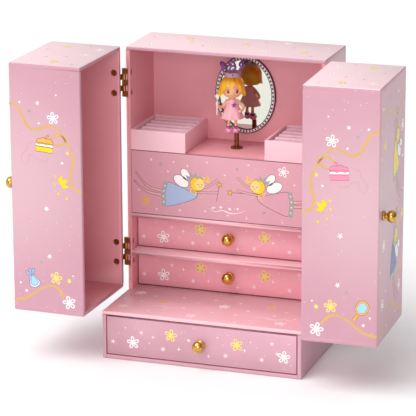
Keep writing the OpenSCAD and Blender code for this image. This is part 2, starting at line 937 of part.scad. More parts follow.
left_side_panel();
right_side_panel();
top_panel();
back_panel();
floor_panel();
deck_panel();
drawer_shelves();
stage_panel();
fascia_panel();
ring_trays();
ring_rolls();
mirror_frame();
mirror_glass();
hinge_cabinet_leaves();
hinge_pins();
hinge_cabinet_screws();
movement_bedplate();
movement_comb();
movement_screws();
spindle_bush();
left_wing_outer_wall();
left_wing_front_panel();
left_wing_meeting_wall();
left_wing_end_panels();
left_wing_knob();
left_wing_knob_screw();
left_wing_hinge_leaves();
left_wing_hinge_screws();
left_wing_hooks();
right_wing_outer_wall();
right_wing_front_panel();
right_wing_meeting_wall();
right_wing_end_panels();
right_wing_knob();
right_wing_knob_screw();
right_wing_hinge_leaves();
right_wing_hinge_screws();
right_wing_hooks();
upper_drawer_box();
upper_drawer_front();
upper_drawer_knob();
upper_drawer_knob_screw();
middle_drawer_box();
middle_drawer_front();
middle_drawer_knob();
middle_drawer_knob_screw();
base_drawer_box();
base_drawer_front();
base_drawer_knob();
base_drawer_knob_screw();
spring_barrel();
winding_key();
music_cylinder();
governor_fly();
doll_spindle();
doll_legs();
doll_dress();
doll_head();
doll_crown();
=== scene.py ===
"""Musical jewellery box: papers, printed decoration, doll, padded rolls, brassware and stage.

Run as a script. Lengths are written in millimetres and turned into metres when a mesh is made.
"""

import json
import math
from functools import partial

import bmesh
import bpy
import numpy as np
from bpy.props import FloatProperty, FloatVectorProperty, PointerProperty
from mathutils import Matrix, Vector


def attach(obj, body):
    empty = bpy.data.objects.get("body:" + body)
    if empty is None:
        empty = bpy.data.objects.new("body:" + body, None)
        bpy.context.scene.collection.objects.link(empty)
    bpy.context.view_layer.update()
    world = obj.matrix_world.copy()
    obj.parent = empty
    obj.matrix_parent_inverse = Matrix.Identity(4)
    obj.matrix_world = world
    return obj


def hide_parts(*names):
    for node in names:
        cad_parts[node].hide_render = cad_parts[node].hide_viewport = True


bl_info = {
    "name": "Musical Jewellery Box",
    "version": (1, 0, 0),
    "blender": (4, 5, 0),
    "location": "View3D > Sidebar > Jewellery Box",
    "description": "Builds the papers, prints, doll and fittings of a musical jewellery box",
    "category": "Object",
}

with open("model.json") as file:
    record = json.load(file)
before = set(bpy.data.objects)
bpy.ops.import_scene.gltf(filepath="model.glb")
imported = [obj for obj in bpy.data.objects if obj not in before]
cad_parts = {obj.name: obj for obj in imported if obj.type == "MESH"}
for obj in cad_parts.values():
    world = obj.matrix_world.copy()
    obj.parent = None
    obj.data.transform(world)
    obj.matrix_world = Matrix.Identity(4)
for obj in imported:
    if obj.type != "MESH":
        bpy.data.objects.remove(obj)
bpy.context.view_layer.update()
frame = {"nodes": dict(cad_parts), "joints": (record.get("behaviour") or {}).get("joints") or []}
MM = 0.001
ON_PLANE = 0.03  # a point this near a plane, in millimetres, lies on it


# ---- Sizes taken from the frame ----


def node_points(name):
    """The points of a CAD node in millimetres, as rows."""
    mesh = frame["nodes"][name].data
    flat = np.zeros(len(mesh.vertices) * 3, np.float32)
    mesh.vertices.foreach_get("co", flat)
    return flat.reshape(-1, 3).astype(float) / MM


def span_of(name):
    """Lowest and highest corner of a CAD node in millimetres."""
    points = node_points(name)
    return points.min(0), points.max(0)


def joint(name):
    """The row of a joint, by its name."""
    return next(j for j in frame["joints"] if j["name"] == name)


SIDES = {"left": -1, "right": 1}
PIVOT = np.array(joint("right_wing_hinge")["pos_m"]) / MM
OPEN = math.radians(-joint("right_wing_hinge")["range_deg"][0])
CABINET_LOW, CABINET_HIGH = span_of("top_panel")
BASE_LOW, BASE_HIGH = span_of("deck_panel")
FRONT_Y = CABINET_LOW[1]
BACK_Y = CABINET_HIGH[1]
HALF_W = CABINET_HIGH[0]
TOP_Z = CABINET_HIGH[2]
DECK_Z = BASE_HIGH[2]
BASE_Y = BASE_LOW[1]


def opened(side, points):
    """Closed right-hand wing points, turned about the hinge to rest and mirrored for the left."""
    points = np.asarray(points, float)
    x, y = points[..., 0] - PIVOT[0], points[..., 1] - PIVOT[1]
    turned = points.copy()
    turned[..., 0] = side * (PIVOT[0] + x * math.cos(OPEN) - y * math.sin(OPEN))
    turned[..., 1] = PIVOT[1] + x * math.sin(OPEN) + y * math.cos(OPEN)
    return turned


def closed(side, points):
    """The opposite of opened(): rest points of a wing, back in the closed right-hand place."""
    points = np.asarray(points, float)
    x, y = side * points[..., 0] - PIVOT[0], points[..., 1] - PIVOT[1]
    back = points.copy()
    back[..., 0] = PIVOT[0] + x * math.cos(OPEN) + y * math.sin(OPEN)
    back[..., 1] = PIVOT[1] - x * math.sin(OPEN) + y * math.cos(OPEN)
    return back


_wing = closed(1, node_points("right_wing_end_panels"))
WING_LOW, WING_HIGH = _wing.min(0), _wing.max(0)


# ---- Settings ----


def linear(code):
    """An sRGB hex colour as linear red, green and blue."""
    values = [int(code[i : i + 2], 16) / 255 for i in (1, 3, 5)]
    return tuple(v / 12.92 if v <= 0.04045 else ((v + 0.055) / 1.055) ** 2.4 for v in values)


def colour(name, description, code):
    """A colour setting with an sRGB hex default."""
    return FloatVectorProperty(
        name=name, description=description, subtype="COLOR", size=3, min=0, max=1, default=linear(code)
    )


def number(name, description, default, **more):
    """A number setting."""
    return FloatProperty(name=name, description=description, default=default, **more)


class PaperSettings(bpy.types.PropertyGroup):
    """Colours of the papers that cover the boards."""

    outside: colour("Outside", "Paper on the outside of the cabinet", "#C998A5")
    cloud: colour("Cloud", "Lilac clouds in the outside paper", "#D2A2B1")
    wing: colour("Wing", "Paper on the outside of the wings", "#CB98A7")
    deck: colour("Deck", "Paper on top of the base", "#F5C2CA")
    fascia: colour("Fascia", "Paper on the panel below the stage", "#DAA3AE")
    # Painted light: the tops are the sides' paper made paler for the light that falls on them from above
    top: colour("Top", "Paler paper on the tops", "#F6D4DA")
    glow: colour("Glow", "Pale glow round the wing knobs", "#D6B2BB")
    inside: colour("Inside", "Paper inside the stage and the wings", "#EBA3AC")
    drawer: colour("Drawer", "Paper on the drawer fronts", "#ECAAB5")
    tray: colour("Tray", "Paper on the ring trays", "#F3C6CF")
    lining: colour("Lining", "Flocked lining of the drawers", "#E9A3B6")


class InkSettings(bpy.types.PropertyGroup):
    """Colours of the printed decoration."""

    ribbon: colour("Ribbon", "Wavy ribbon", "#D9AE6A")
    white: colour("White", "White flowers and stars", "#FFF8F6")
    gold: colour("Gold", "Golden flowers", "#F0B848")
    yellow: colour("Yellow", "Bright yellow stars, cake and hair", "#F8D81C")
    straw: colour("Straw", "Pale yellow flowers", "#F6E467")
    grey: colour("Grey", "Grey stars, lace and crowns", "#A9A4A2")
    line: colour("Line", "Thin drawn lines", "#75667A")
    tan: colour("Tan", "Drawn lines of arms and legs", "#8F5C5A")
    face: colour("Face", "Faces of the printed fairies", "#F7D98A")
    skin: colour("Skin", "Arms and legs of the printed fairies", "#E3AFB3")
    blue: colour("Blue", "Blue dresses", "#A9BBDE")
    deep_blue: colour("Deep blue", "Pendant and deep blue dresses", "#5A74AE")
    aqua: colour("Aqua", "Glass of the pendant and the hand mirror", "#A5D8EC")
    pink: colour("Pink", "Pink cake and dresses", "#F090AE")
    rose: colour("Rose", "Dark pink drawn lines", "#C75F86")
    hollow: colour("Hollow", "Slits in the flower petals", "#D79DAA")
    pearl: colour("Pearl", "Soft small stars", "#F6D6DC")
    blush: colour("Blush", "Pale pink dresses", "#DBA3B0")
    # Painted shade: a dark line printed round the drawer fronts and the fascia, standing in for shade in the
    # gaps
    seam: colour("Seam", "Dark folded paper edges", "#6A3440")
    black: colour("Black", "Beads round the mirror", "#3A2A34")


class FittingSettings(bpy.types.PropertyGroup):
    """Colours of metal, mirror and velvet."""

    brass: colour("Brass", "Plated knobs", "#DDB25A")
    hinge: colour("Hinge", "Rolled brass hinges and screws", "#B5814E")
    bronze: colour("Bronze", "Lacquered spindle", "#8A5B3C")
    zinc: colour("Zinc", "Cast movement bed and screws", "#B4B6BA")
    steel: colour("Steel", "Ground comb", "#D2D4D8")
    velvet: colour("Velvet", "Velvet of the ring rolls", "#F8CEDB")
    frame: colour("Frame", "Outer ring of the mirror's frame", "#5A2A3C")
    glass: colour("Glass", "Silvered mirror glass", "#D6D7CC")
    plastic: colour("Plastic", "Moulded hook rails", "#F2CFDB")


class DollSettings(bpy.types.PropertyGroup):
    """Colours of the doll."""

    skin: colour("Skin", "Skin", "#F4BB8C")
    hair: colour("Hair", "Hair", "#EE960F")
    hair_light: colour("Hair light", "Lighter strands", "#FFCE30")
    dress: colour("Dress", "Dress", "#F4B6BE")
    shoe: colour("Shoe", "Shoes", "#F0A3C4")
    purple: colour("Purple", "Crown, star and shoe tops", "#8C4A98")
    band: colour("Band", "Crown band", "#B9A3AE")
    eye: colour("Eye", "Eyes", "#1E1512")
    lip: colour("Lip", "Mouth", "#D65A55")
    wand: colour("Wand", "Wand", "#F4EEEA")
    look: number("Look", "Angle that the doll is turned aside, degrees", 20)


class SizeSettings(bpy.types.PropertyGroup):
    """Sizes that the CAD frame doesn't hold, in millimetres."""

    edge_round: number("Edge round", "Rounding of the outer board edges", 1.3, min=0.2, max=1.8)
    rim_round: number("Rim round", "Rounding of the inner board edges", 0.5, min=0.1, max=1)
    print_lift: number("Print lift", "Thickness of one layer of print", 0.035, min=0.02, max=0.05)


class StageSettings(bpy.types.PropertyGroup):
    """Camera and lights."""

    lens: number("Lens", "Focal length", 216.2, unit="CAMERA")
    azimuth: number("Azimuth", "Camera angle round the box, degrees", 18.99)
    elevation: number("Elevation", "Camera angle above the table, degrees", 16.09)
    roll: number("Roll", "Camera roll, degrees", -0.23)
    distance: number("Distance", "Camera distance from its aim", 2.447, unit="LENGTH")
    key: number("Key light", "Strength of the main light", 1.6)
    fill: number("Fill light", "Power of the fill light", 10, unit="POWER")
    sky: number("Sky", "Strength of the white surroundings", 0.42)
    exposure: number("Exposure", "Camera exposure, in stops", 0.1)


GROUPS = {
    "paper": PaperSettings,
    "ink": InkSettings,
    "fitting": FittingSettings,
    "doll": DollSettings,
    "size": SizeSettings,
    "stage": StageSettings,
}


def settings(group):
    """The scene's settings of one group."""
    return getattr(bpy.context.scene, "jewel_box_" + group)


# ---- Materials ----


def add(tree, kind, values=None, links=None):
    """Adds a node, sets its properties or inputs by name, and links inputs to other outputs."""
    node = tree.nodes.new(kind)
    for key, value in (values or {}).items():
        if key == "stops":
            elements = node.color_ramp.elements
            while len(elements) < len(value):
                elements.new(1)
            for element, (place, rgb) in zip(elements, value):
                element.position = place
                element.color = (*rgb, 1)
        elif isinstance(key, str) and hasattr(node, key):
            setattr(node, key, value)
        else:
            node.inputs[key].default_value = value
    for key, source in (links or {}).items():
        tree.links.new(source, node.inputs[key])
    return node


def noise(tree, place, size, detail, **more):
    """Noise with blotches about size metres wide: its scale is one over the size."""
    values = {"Scale": 1 / size, "Detail": detail, **more}
    return add(tree, "ShaderNodeTexNoise", values, {"Vector": place}).outputs["Fac"]


def ramp(tree, source, *stops):
    """A colour for each value, blended evenly between stops of (value, colour)."""
    return add(tree, "ShaderNodeValToRGB", {"stops": stops}, {"Fac": source}).outputs["Color"]


def remap(tree, source, taken, given, kind="LINEAR"):
    """Carries a value from the range taken to the range given, and holds it at the ends."""
    values = {"interpolation_type": kind, "From Min": taken[0], "From Max": taken[1]}
    values.update({"To Min": given[0], "To Max": given[1]})
    return add(tree, "ShaderNodeMapRange", values, {"Value": source}).outputs["Result"]


def mix(tree, share, under, over):
    """The colour under where share is 0 and over where it is 1. Each is an output or a plain tuple."""
    values, links = {}, {"Fac": share}
    for key, source in (("Color1", under), ("Color2", over)):
        if isinstance(source, tuple):
            values[key] = (*source, 1)
        else:
            links[key] = source
    return add(tree, "ShaderNodeMixRGB", values, links).outputs["Color"]


def bump(tree, source, strength, distance):
    """Relief from a height pattern, distance metres deep."""
    values = {"Strength": strength, "Distance": distance}
    return add(tree, "ShaderNodeBump", values, {"Height": source}).outputs["Normal"]


def start(name):
    """A new material, its node tree and its Object coordinates. One that exists comes back alone."""
    existing = bpy.data.materials.get(name)
    if existing:
        return existing, None, None
    made = bpy.data.materials.new(name)
    made.use_nodes = True
    made.node_tree.nodes.clear()
    place = add(made.node_tree, "ShaderNodeTexCoord").outputs["Object"]
    return made, made.node_tree, place


def close(tree, values, links):
    """Adds the shader and the output."""
    shader = add(tree, "ShaderNodeBsdfPrincipled", values, links)
    add(tree, "ShaderNodeOutputMaterial", {}, {"Surface": shader.outputs["BSDF"]})


def shade(base, factor):
    """A colour with each of its parts multiplied by the factor."""
    return tuple(c * factor for c in base)


def laminated_paper(name, base, cloud, gloss=0.3, coat=0.18, glow=None, dust=0.8):
    """Printed paper under a thin gloss film: soft printed clouds, stardust and a faint fibre.

    A speck of stardust is the middle of a Voronoi cell. glow is (centre, radius, colour): a pale patch
    that fades smoothly with the distance from its centre.
    """
    made, tree, place = start(name)
    if tree is None:
        return made
    cloud_size, fibre_size, dust_gap = 0.075, 0.0009, 0.0065
    speck_edge, speck_core, speck_tone = 0.07, 0.04, (1, 0.93, 0.93)
    glow_core, glow_strength = 0.12, 0.75
    clouds = noise(tree, place, cloud_size, 3.0, Roughness=0.55)
    shown = ramp(tree, clouds, (0.36, base), (0.68, cloud))
    if glow:
        centre, radius, tint = glow
        reach = add(tree, "ShaderNodeVectorMath", {"operation": "DISTANCE", 1: centre}, {0: place})
        fading = (radius, radius * glow_core)
        fade = remap(tree, reach.outputs["Value"], fading, (0, glow_strength), "SMOOTHSTEP")
        shown = mix(tree, fade, shown, tint)
    cells = add(tree, "ShaderNodeTexVoronoi", {"Scale": 1 / dust_gap}, {"Vector": place})
    specks = remap(tree, cells.outputs["Distance"], (speck_edge, speck_core), (0, dust))
    dusted = mix(tree, specks, shown, speck_tone)
    relief = bump(tree, noise(tree, place, fibre_size, 2.0), 0.12, 0.00003)
    sheen = remap(tree, clouds, (0, 1), (gloss - 0.05, gloss + 0.07))
    close(
        tree,
        {"Coat Weight": coat, "Coat Roughness": 0.12, "Specular IOR Level": 0.25},
        {"Base Color": dusted, "Roughness": sheen, "Normal": relief},
    )
    return made


def screen_ink(name, base):
    """Glossy printing ink: a slightly uneven film on the paper."""
    made, tree, place = start(name)
    if tree is None:
        return made
    film_size = 0.0016
    tone = ramp(tree, noise(tree, place, film_size, 2.0), (0.3, shade(base, 0.9)), (0.7, base))
    close(
        tree,
        {"Roughness": 0.34, "Coat Weight": 0.15, "Coat Roughness": 0.12, "Specular IOR Level": 0.3},
        {"Base Color": tone},
    )
    return made


def plated_metal(name, base, rough=0.2, grain=0.0012, dark=0.7):
    """Polished plated metal: a clear reflection, faint tarnish clouds and hairline scratches."""
    made, tree, place = start(name)
    if tree is None:
        return made
    tarnish_size = 0.004
    tarnish = noise(tree, place, tarnish_size, 3.0)
    tone = ramp(tree, tarnish, (0.3, shade(base, dark)), (0.62, base))
    scratch = noise(tree, place, grain, 4.0)
    rougher = remap(tree, scratch, (0, 1), (rough * 0.7, rough * 1.5))
    relief = bump(tree, scratch, 0.05, 0.00002)
    close(tree, {"Metallic": 1.0}, {"Base Color": tone, "Roughness": rougher, "Normal": relief})
    return made


def velvet(name, base, crest=None):
    """Short pile velvet: matt, with a pale sheen at grazing angles and a brushed, mottled nap.

    The pile is painted darker below the crest, a height in millimetres: painted shade between the rolls.
    """
    made, tree, place = start(name)
    if tree is None:
        return made
    nap_size, pile_size = 0.005, 0.00045
    groove_floor, groove_edge = 3.4, 1.1  # millimetres below the crest
    shown = ramp(tree, noise(tree, place, nap_size, 4.0), (0.3, shade(base, 0.86)), (0.7, base))
    # Painted shade: below the crest the colour darkens to a deep tone, standing in for the shade in the
    # grooves
    if crest:
        height = add(tree, "ShaderNodeSeparateXYZ", {}, {"Vector": place}).outputs["Z"]
        groove = ((crest - groove_floor) * MM, (crest - groove_edge) * MM)
        painted_groove_shade = (base[0] * 0.2, base[1] * 0.06, base[2] * 0.09)
        shown = mix(tree, remap(tree, height, groove, (0, 1)), painted_groove_shade, shown)
    relief = bump(tree, noise(tree, place, pile_size, 2.0), 0.4, 0.00012)
    close(
        tree,
        {"Roughness": 0.92, "Sheen Weight": 0.25, "Sheen Roughness": 0.4},
        {"Base Color": shown, "Normal": relief},
    )
    return made


def painted_vinyl(name, base, light=None, rough=0.36, mottle=0.006):
    """Hand-painted soft vinyl: satin, with a slow change of tone and a faint orange-peel skin."""
    made, tree, place = start(name)
    if tree is None:
        return made
    peel_size = 0.0008
    light = light or tuple(min(1, c * 1.08) for c in base)
    tone = ramp(tree, noise(tree, place, mottle, 2.0), (0.38, base), (0.66, light))
    relief = bump(tree, noise(tree, place, peel_size, 1.0), 0.08, 0.00003)
    close(
        tree,
        {"Roughness": rough, "Coat Weight": 0.2, "Coat Roughness": 0.2},
        {"Base Color": tone, "Normal": relief},
    )
    return made


def silvered_glass(name, base):
    """Second-surface mirror: nearly perfect reflection with faint smears."""
    made, tree, place = start(name)
    if tree is None:
        return made
    smear_size = 0.012
    rougher = remap(tree, noise(tree, place, smear_size, 2.0), (0, 1), (0.01, 0.05))
    close(tree, {"Base Color": (*base, 1), "Metallic": 1.0}, {"Roughness": rougher})
    return made


def ink(key):
    """The ink of one of the ink colours."""
    return screen_ink("screen_ink_" + key, tuple(getattr(settings("ink"), key)))


def shaded_paper(name, key, factor, **finish):
    """Laminated paper of one of the paper colours, with clouds in a shade of the same colour."""
    base = tuple(getattr(settings("paper"), key))
    return laminated_paper(name, base, shade(base, factor), **finish)


def outside_paper():
    """The cabinet's outside paper."""
    paper = settings("paper")
    return laminated_paper("laminated_pink_paper", tuple(paper.outside), tuple(paper.cloud))


def painted_light_top_paper():
    """The paler paper of the tops: painted light from above, on what is the same paper as the sides."""
    return shaded_paper("laminated_pale_paper", "top", 0.94)


def wing_paper(side):
    """Outside paper with the pale glow that is centred on the closed pair's knobs."""
    glow_radius, above_middle = 0.12, 8
    height = (WING_LOW[2] + WING_HIGH[2]) / 2 + above_middle
    centre = opened(side, (WING_LOW[0], WING_LOW[1], height)) * MM
    glow = (tuple(centre), glow_radius, tuple(settings("paper").glow))
    name = "laminated_cloud_paper_" + ("left" if side < 0 else "right")
    return shaded_paper(name, "wing", 0.95, glow=glow)


def inside_paper():
    """The matter paper inside the stage and the wings."""
    return shaded_paper("satin_rose_paper", "inside", 0.93, gloss=0.42, coat=0.12, dust=0)


# ---- Meshes ----


class Surfaces:
    """Collects closed surfaces of one piece in millimetres, each with a material number."""

    def __init__(self):
        self.points, self.faces, self.numbers, self.count = [], [], [], 0

    def take(self, points, faces, number):
        """Adds points, and faces that number them from 0."""
        self.points.append(np.asarray(points, float).reshape(-1, 3))
        self.faces += [[i + self.count for i in face] for face in faces]
        self.numbers += [number] * len(faces)
        self.count += len(self.points[-1])

    def grid(self, points, number=0, caps=True):
        """Rings of points joined by quads. The end rings are capped, unless the last repeats the first."""
        rows, across = points.shape[:2]
        index = np.arange(rows * across).reshape(rows, across)
        here, there = index[:-1], index[1:]
        quads = np.stack([here, np.roll(here, -1, 1), np.roll(there, -1, 1), there], -1)
        faces = quads.reshape(-1, 4).tolist()
        if caps:
            faces += [index[0][::-1].tolist(), index[-1].tolist()]
        self.take(points, faces, number)

    def prism(self, low, high, number=0):
        """A closed slab between two matching outlines."""
        n = len(low)
        ring = np.arange(n)
        sides = np.stack([ring, np.roll(ring, -1), np.roll(ring, -1) + n, ring + n], -1).tolist()
        caps = [ring[::-1].tolist(), (ring + n).tolist()]
        self.take(np.concatenate([low, high]), sides + caps, number)


def make_piece(name, surfaces, materials, body, replaces=(), angle=35):
    """Turns surfaces into one object that rides on a body. Shading is smooth below the angle."""
    same_point = 1e-7
    mesh = bpy.data.meshes.new(name)
    mesh.from_pydata((np.concatenate(surfaces.points) * MM).tolist(), [], surfaces.faces)
    mesh.polygons.foreach_set("material_index", surfaces.numbers)
    for material in materials:
        mesh.materials.append(material)
    work = bmesh.new()
    work.from_mesh(mesh)
    bmesh.ops.remove_doubles(work, verts=work.verts, dist=same_point)
    bmesh.ops.recalc_face_normals(work, faces=work.faces)
    work.to_mesh(mesh)
    work.free()
    mesh.shade_smooth()
    mesh.set_sharp_from_angle(angle=math.radians(angle))
    made = bpy.data.objects.new(name, mesh)
    bpy.context.scene.collection.objects.link(made)
    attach(made, body)
    if replaces:
        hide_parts(*replaces)
    return made


def smooth_line(points, steps=8, ring=False):
    """A Catmull-Rom curve through the points: each stretch is a cubic of its four nearest points."""
    p = np.asarray(points, float)
    if ring:
        p = np.concatenate([p[-1:], p, p[:2]])
    else:
        p = np.concatenate([2 * p[:1] - p[1:2], p, 2 * p[-1:] - p[-2:-1]])
    t = (np.arange(steps) / steps)[None, :, None]
    a, b, c, d = (q[:, None, :] for q in (p[:-3], p[1:-2], p[2:-1], p[3:]))
    square, cube = 2 * a - 5 * b + 4 * c - d, 3 * b - a - 3 * c + d
    curve = 0.5 * (2 * b + (c - a) * t + square * t**2 + cube * t**3)
    curve = curve.reshape(-1, p.shape[1])
    return curve if ring else np.concatenate([curve, p[-2:-1]])


def arc(centre, radii, start_deg, end_deg, count=32):
    """Points round an ellipse, from one angle to another."""
    a = np.radians(np.linspace(start_deg, end_deg, count))
    return np.stack([centre[0] + radii[0] * np.cos(a), centre[1] + radii[1] * np.sin(a)], -1)


def disc(centre, radii, count=28, tilt=0):
    """A closed ellipse, turned by tilt degrees."""
    points = arc((0, 0), radii, 0, 360, count + 1)[:-1]
    return turn(points, tilt) + np.asarray(centre, float)


def turn(points, degrees):
    """Flat points turned about the origin, counter-clockwise."""
    a = math.radians(degrees)
    return np.asarray(points, float) @ np.array([[math.cos(a), math.sin(a)], [-math.sin(a), math.cos(a)]])


def star_outline(centre, radius, tilt=0, inner=0.42, points=5):
    """A star: corners on two circles in turn."""
    a = np.radians(90 + tilt + np.arange(2 * points) * 180 / points)
    r = np.where(np.arange(2 * points) % 2 == 0, radius, radius * inner)
    return np.stack([centre[0] + r * np.cos(a), centre[1] + r * np.sin(a)], -1)


def petal_outline(centre, radius, angle, width=0.34, start_share=0.1):
    """One petal: a drop from near the flower's middle to its rim."""
    t = np.linspace(0, 2 * math.pi, 15)[:-1]
    along = radius * (start_share + (1 - start_share) * (0.5 - 0.5 * np.cos(t)))
    across = radius * width * np.sin(t) * (0.55 + 0.45 * (0.5 - 0.5 * np.cos(t)))
    return turn(np.stack([along, across], -1), angle) + np.asarray(centre, float)


def along(line, shares, values):
    """A value for each point of a line, straight between values given at shares of its length."""
    return np.interp(np.linspace(0, 1, len(line)), shares, values)


def stripe(line, width, ring=False):
    """The outline pair of a stripe: the line moved half the width to either side."""
    line = np.asarray(line, float)
    ahead = np.roll(line, -1, 0) - np.roll(line, 1, 0)
    if not ring:
        ahead[0], ahead[-1] = line[1] - line[0], line[-1] - line[-2]
    ahead /= np.maximum(np.linalg.norm(ahead, axis=1, keepdims=True), 1e-9)
    side = np.stack([-ahead[:, 1], ahead[:, 0]], -1) * np.reshape(width, (-1, 1)) / 2
    return line + side, line - side


class Print:
    """A sheet of decoration on one flat face.

    origin, across and up place its millimetre plane. The face looks along out, or else along across x up.
    """

    def __init__(self, origin, across, up, out=None):
        self.origin, self.across, self.up = (np.asarray(v, float) for v in (origin, across, up))
        self.out = np.cross(self.across, self.up) if out is None else out
        self.surfaces, self.inks = Surfaces(), []

    def place(self, flat, height):
        """Flat points in space: so far across, so far up, and the height out."""
        return self.origin + flat[:, :1] * self.across + flat[:, 1:] * self.up + self.out * height

    def number(self, key):
        """The material number of an ink, which is added if it is new."""
        if key not in self.inks:
            self.inks.append(key)
        return self.inks.index(key)

    def fill(self, outline, key, layer=1):
        """A flat filled shape."""
        lift = settings("size").print_lift
        outline = np.asarray(outline, float)
        self.surfaces.prism(self.place(outline, -lift), self.place(outline, lift * layer), self.number(key))

    def line(self, line, width, key, layer=1, ring=False):
        """A stripe of even or given widths along a line."""
        lift = settings("size").print_lift
        left, right = stripe(line, width, ring)
        ring_points = [self.place(right, -lift), self.place(left, -lift)]
        ring_points += [self.place(left, lift * layer), self.place(right, lift * layer)]
        grid = np.stack(ring_points, 1)
        if ring:
            grid = np.concatenate([grid, grid[:1]])
        self.surfaces.grid(grid, self.number(key), caps=not ring)

    def finish(self, name, body, slot):
        """Makes the sheet's piece."""
        return make_piece(name, self.surfaces, [ink(k) for k in self.inks], body, angle=20)

    # Motifs

    def edge(self, low, high, inset=0.35, width=0.5):
        """A painted shadow round a panel: a thin dark line that stands in for the shade in the gap round it.
        """
        x0, z0, x1, z1 = low[0] + inset, low[1] + inset, high[0] - inset, high[1] - inset
        self.line([(x0, z0), (x1, z0), (x1, z1), (x0, z1)], width, "seam", ring=True)

    def star(self, centre, radius, key="white", tilt=0):
        """A star with five points."""
        self.fill(star_outline(centre, radius, tilt), key)

    def dot(self, centre, radius, key="white", layer=1):
        """A round dot."""
        self.fill(disc(centre, (radius, radius), 16), key, layer)

    def spark(self, centre, radius):
        """A thin star with four points."""
        self.fill(star_outline(centre, radius, 0, 0.18, 4), "white")

    def flower(self, centre, radius, key="white", tilt=0):
        """Five petals with a drawn rim, a slit in each and a small heart."""
        middle = np.asarray(centre, float)
        for i in range(5):
            angle = 90 + tilt + i * 72
            for share, width, tone, layer in ((1, 0.36, key, 1 + 0.12 * i), (0.84, 0.17, "hollow", 2)):
                begin = 0.1 if tone == key else 0.4
                flat = petal_outline((0, 0), radius * share, angle, width / share, begin)
                self.fill(flat + middle, tone, layer)
        self.dot(centre, radius * 0.13, key, 2)

    def outline_flower(self, centre, radius, key="white", tilt=0):
        """Five petals drawn with a line only."""
        middle = np.asarray(centre, float)
        for i in range(5):
            flat = petal_outline((0, 0), radius, 90 + tilt + i * 72, 0.3, 0.16)
            self.line(flat + middle, radius * 0.13, key, 1 + 0.1 * i, ring=True)

    def ribbon(self, points, width=2.4, key="ribbon"):
        """A smooth band whose width swings slowly, by a sine wave along it."""
        line = smooth_line(points, 10)
        swing = 1 + 0.18 * np.sin(np.linspace(0, 9, len(line)))
        self.line(line, width * swing, key)

    def dotted(self, points, gap=1.6, radius=0.3, key="rose"):
        """Dots at even steps along a smooth line."""
        line = smooth_line(points, 12)
        run = np.concatenate([[0], np.cumsum(np.linalg.norm(np.diff(line, axis=0), axis=1))])
        for s in np.arange(0, run[-1], gap):
            self.dot((np.interp(s, run, line[:, 0]), np.interp(s, run, line[:, 1])), radius, key)

    def cake(self, centre, width, tones, tilt=0):
        """A slice of layer cake: icing, cream, sponge and a cherry stalk."""
        icing, cream, sponge, edge = tones
        drips = [
            (-0.5, 0.04), (-0.3, -0.02), (-0.1, 0.05), (0.12, -0.02), (0.32, 0.05), (0.5, 0.0),
            (0.47, 0.22),
        ]
        shapes = [
            (sponge, [(-0.5, -0.42), (0.48, -0.42), (0.5, -0.12), (-0.5, -0.12)]),
            (cream, [(-0.5, -0.14), (0.5, -0.14), (0.5, 0.08), (-0.5, 0.08)]),
            (icing, [*drips, (0.34, 0.34), (0.12, 0.32), (-0.08, 0.38), (-0.28, 0.3), (-0.46, 0.24)]),
        ]
        for i, (tone, points) in enumerate(shapes):
            flat = turn(np.array(points) * width, tilt) + centre
            self.fill(flat, tone, 1 + 0.2 * i)
            self.line(flat, 0.5, edge, 2, ring=True)
        stalk = np.array([(0.02, 0.34), (0.06, 0.46), (0.2, 0.56), (0.24, 0.5), (0.14, 0.4)]) * width
        stalk = turn(stalk, tilt) + centre
        self.fill(stalk, icing, 1.6)
        self.line(stalk, 0.45, edge, 2, ring=True)

    def tiara(self, centre, size, tilt=0):
        """A bright little tiara with three points."""
        points = [
            (-0.5, -0.3), (0.5, -0.3), (0.62, 0.42), (0.28, 0.08), (0, 0.56), (-0.28, 0.08), (-0.62, 0.42),
        ]
        flat = turn(np.array(points) * size, tilt) + centre
        self.fill(flat, "yellow", 1.2)
        self.line(flat, 0.55, "gold", 2, ring=True)

    def pendant(self, centre, size, tilt=0):
        """A glass drop below three leaves: a circle whose width shrinks towards the tip."""
        t = np.linspace(0, 2 * math.pi, 25)[:-1]
        drop = np.stack([0.42 * np.sin(t) * (1 - np.cos(t)) / 1.3, -0.62 * np.cos(t) - 0.1], -1)
        drop[:, 1] *= -1
        for share, tone, layer in ((1, "white", 1), (0.74, "aqua", 2)):
            self.fill(turn(drop * size * share, tilt) + centre, tone, layer)
        self.line(turn(drop * size, tilt) + centre, 0.6, "deep_blue", 2, ring=True)
        self.line(turn(drop * size * 0.74, tilt) + centre, 0.6, "deep_blue", 2.6, ring=True)
        for lean in (-36, 0, 36):
            leaf = turn(petal_outline((0, 0), size * 0.62, 90 + lean, 0.2), tilt)
            leaf += turn([(0, 0.36 * size)], tilt)[0] + centre
            self.fill(leaf, "blue", 2.8)
            self.line(leaf, 0.4, "deep_blue", 3.2, ring=True)

    def hand_mirror(self, centre, size, tilt=0):
        """An oval hand mirror with a tapered handle."""
        centre = np.asarray(centre, float)
        handle = np.array([(-0.07, -0.6), (0.07, -0.6), (0.15, -1.25), (-0.15, -1.25)]) * size
        handle = turn(handle, tilt) + centre
        self.fill(handle, "gold", 1)
        self.line(handle, 0.35, "tan", 1.6, ring=True)
        rim = disc(centre, (0.52 * size, 0.62 * size), 30, tilt)
        self.fill(rim, "gold", 1.2)
        self.line(rim, 0.35, "tan", 2, ring=True)
        glass = disc(centre, (0.36 * size, 0.46 * size), 30, tilt)
        self.fill(glass, "aqua", 2)
        self.line(glass, 0.3, "deep_blue", 2.4, ring=True)

    def fairy(self, waist, size=1.0, mirror=1, tilt=0, dress="blue", star=(26, 12.6)):
        """A small flying fairy, head towards +across, in a flared dress with a star wand."""

        def put(points, smooth=0, ring=False):
            """Fairy millimetres, from its waist, on the sheet."""
            flat = np.asarray(points, float)
            if smooth:
                flat = smooth_line(flat, smooth, ring)
            return turn(flat * size, tilt) * (mirror, 1) + waist

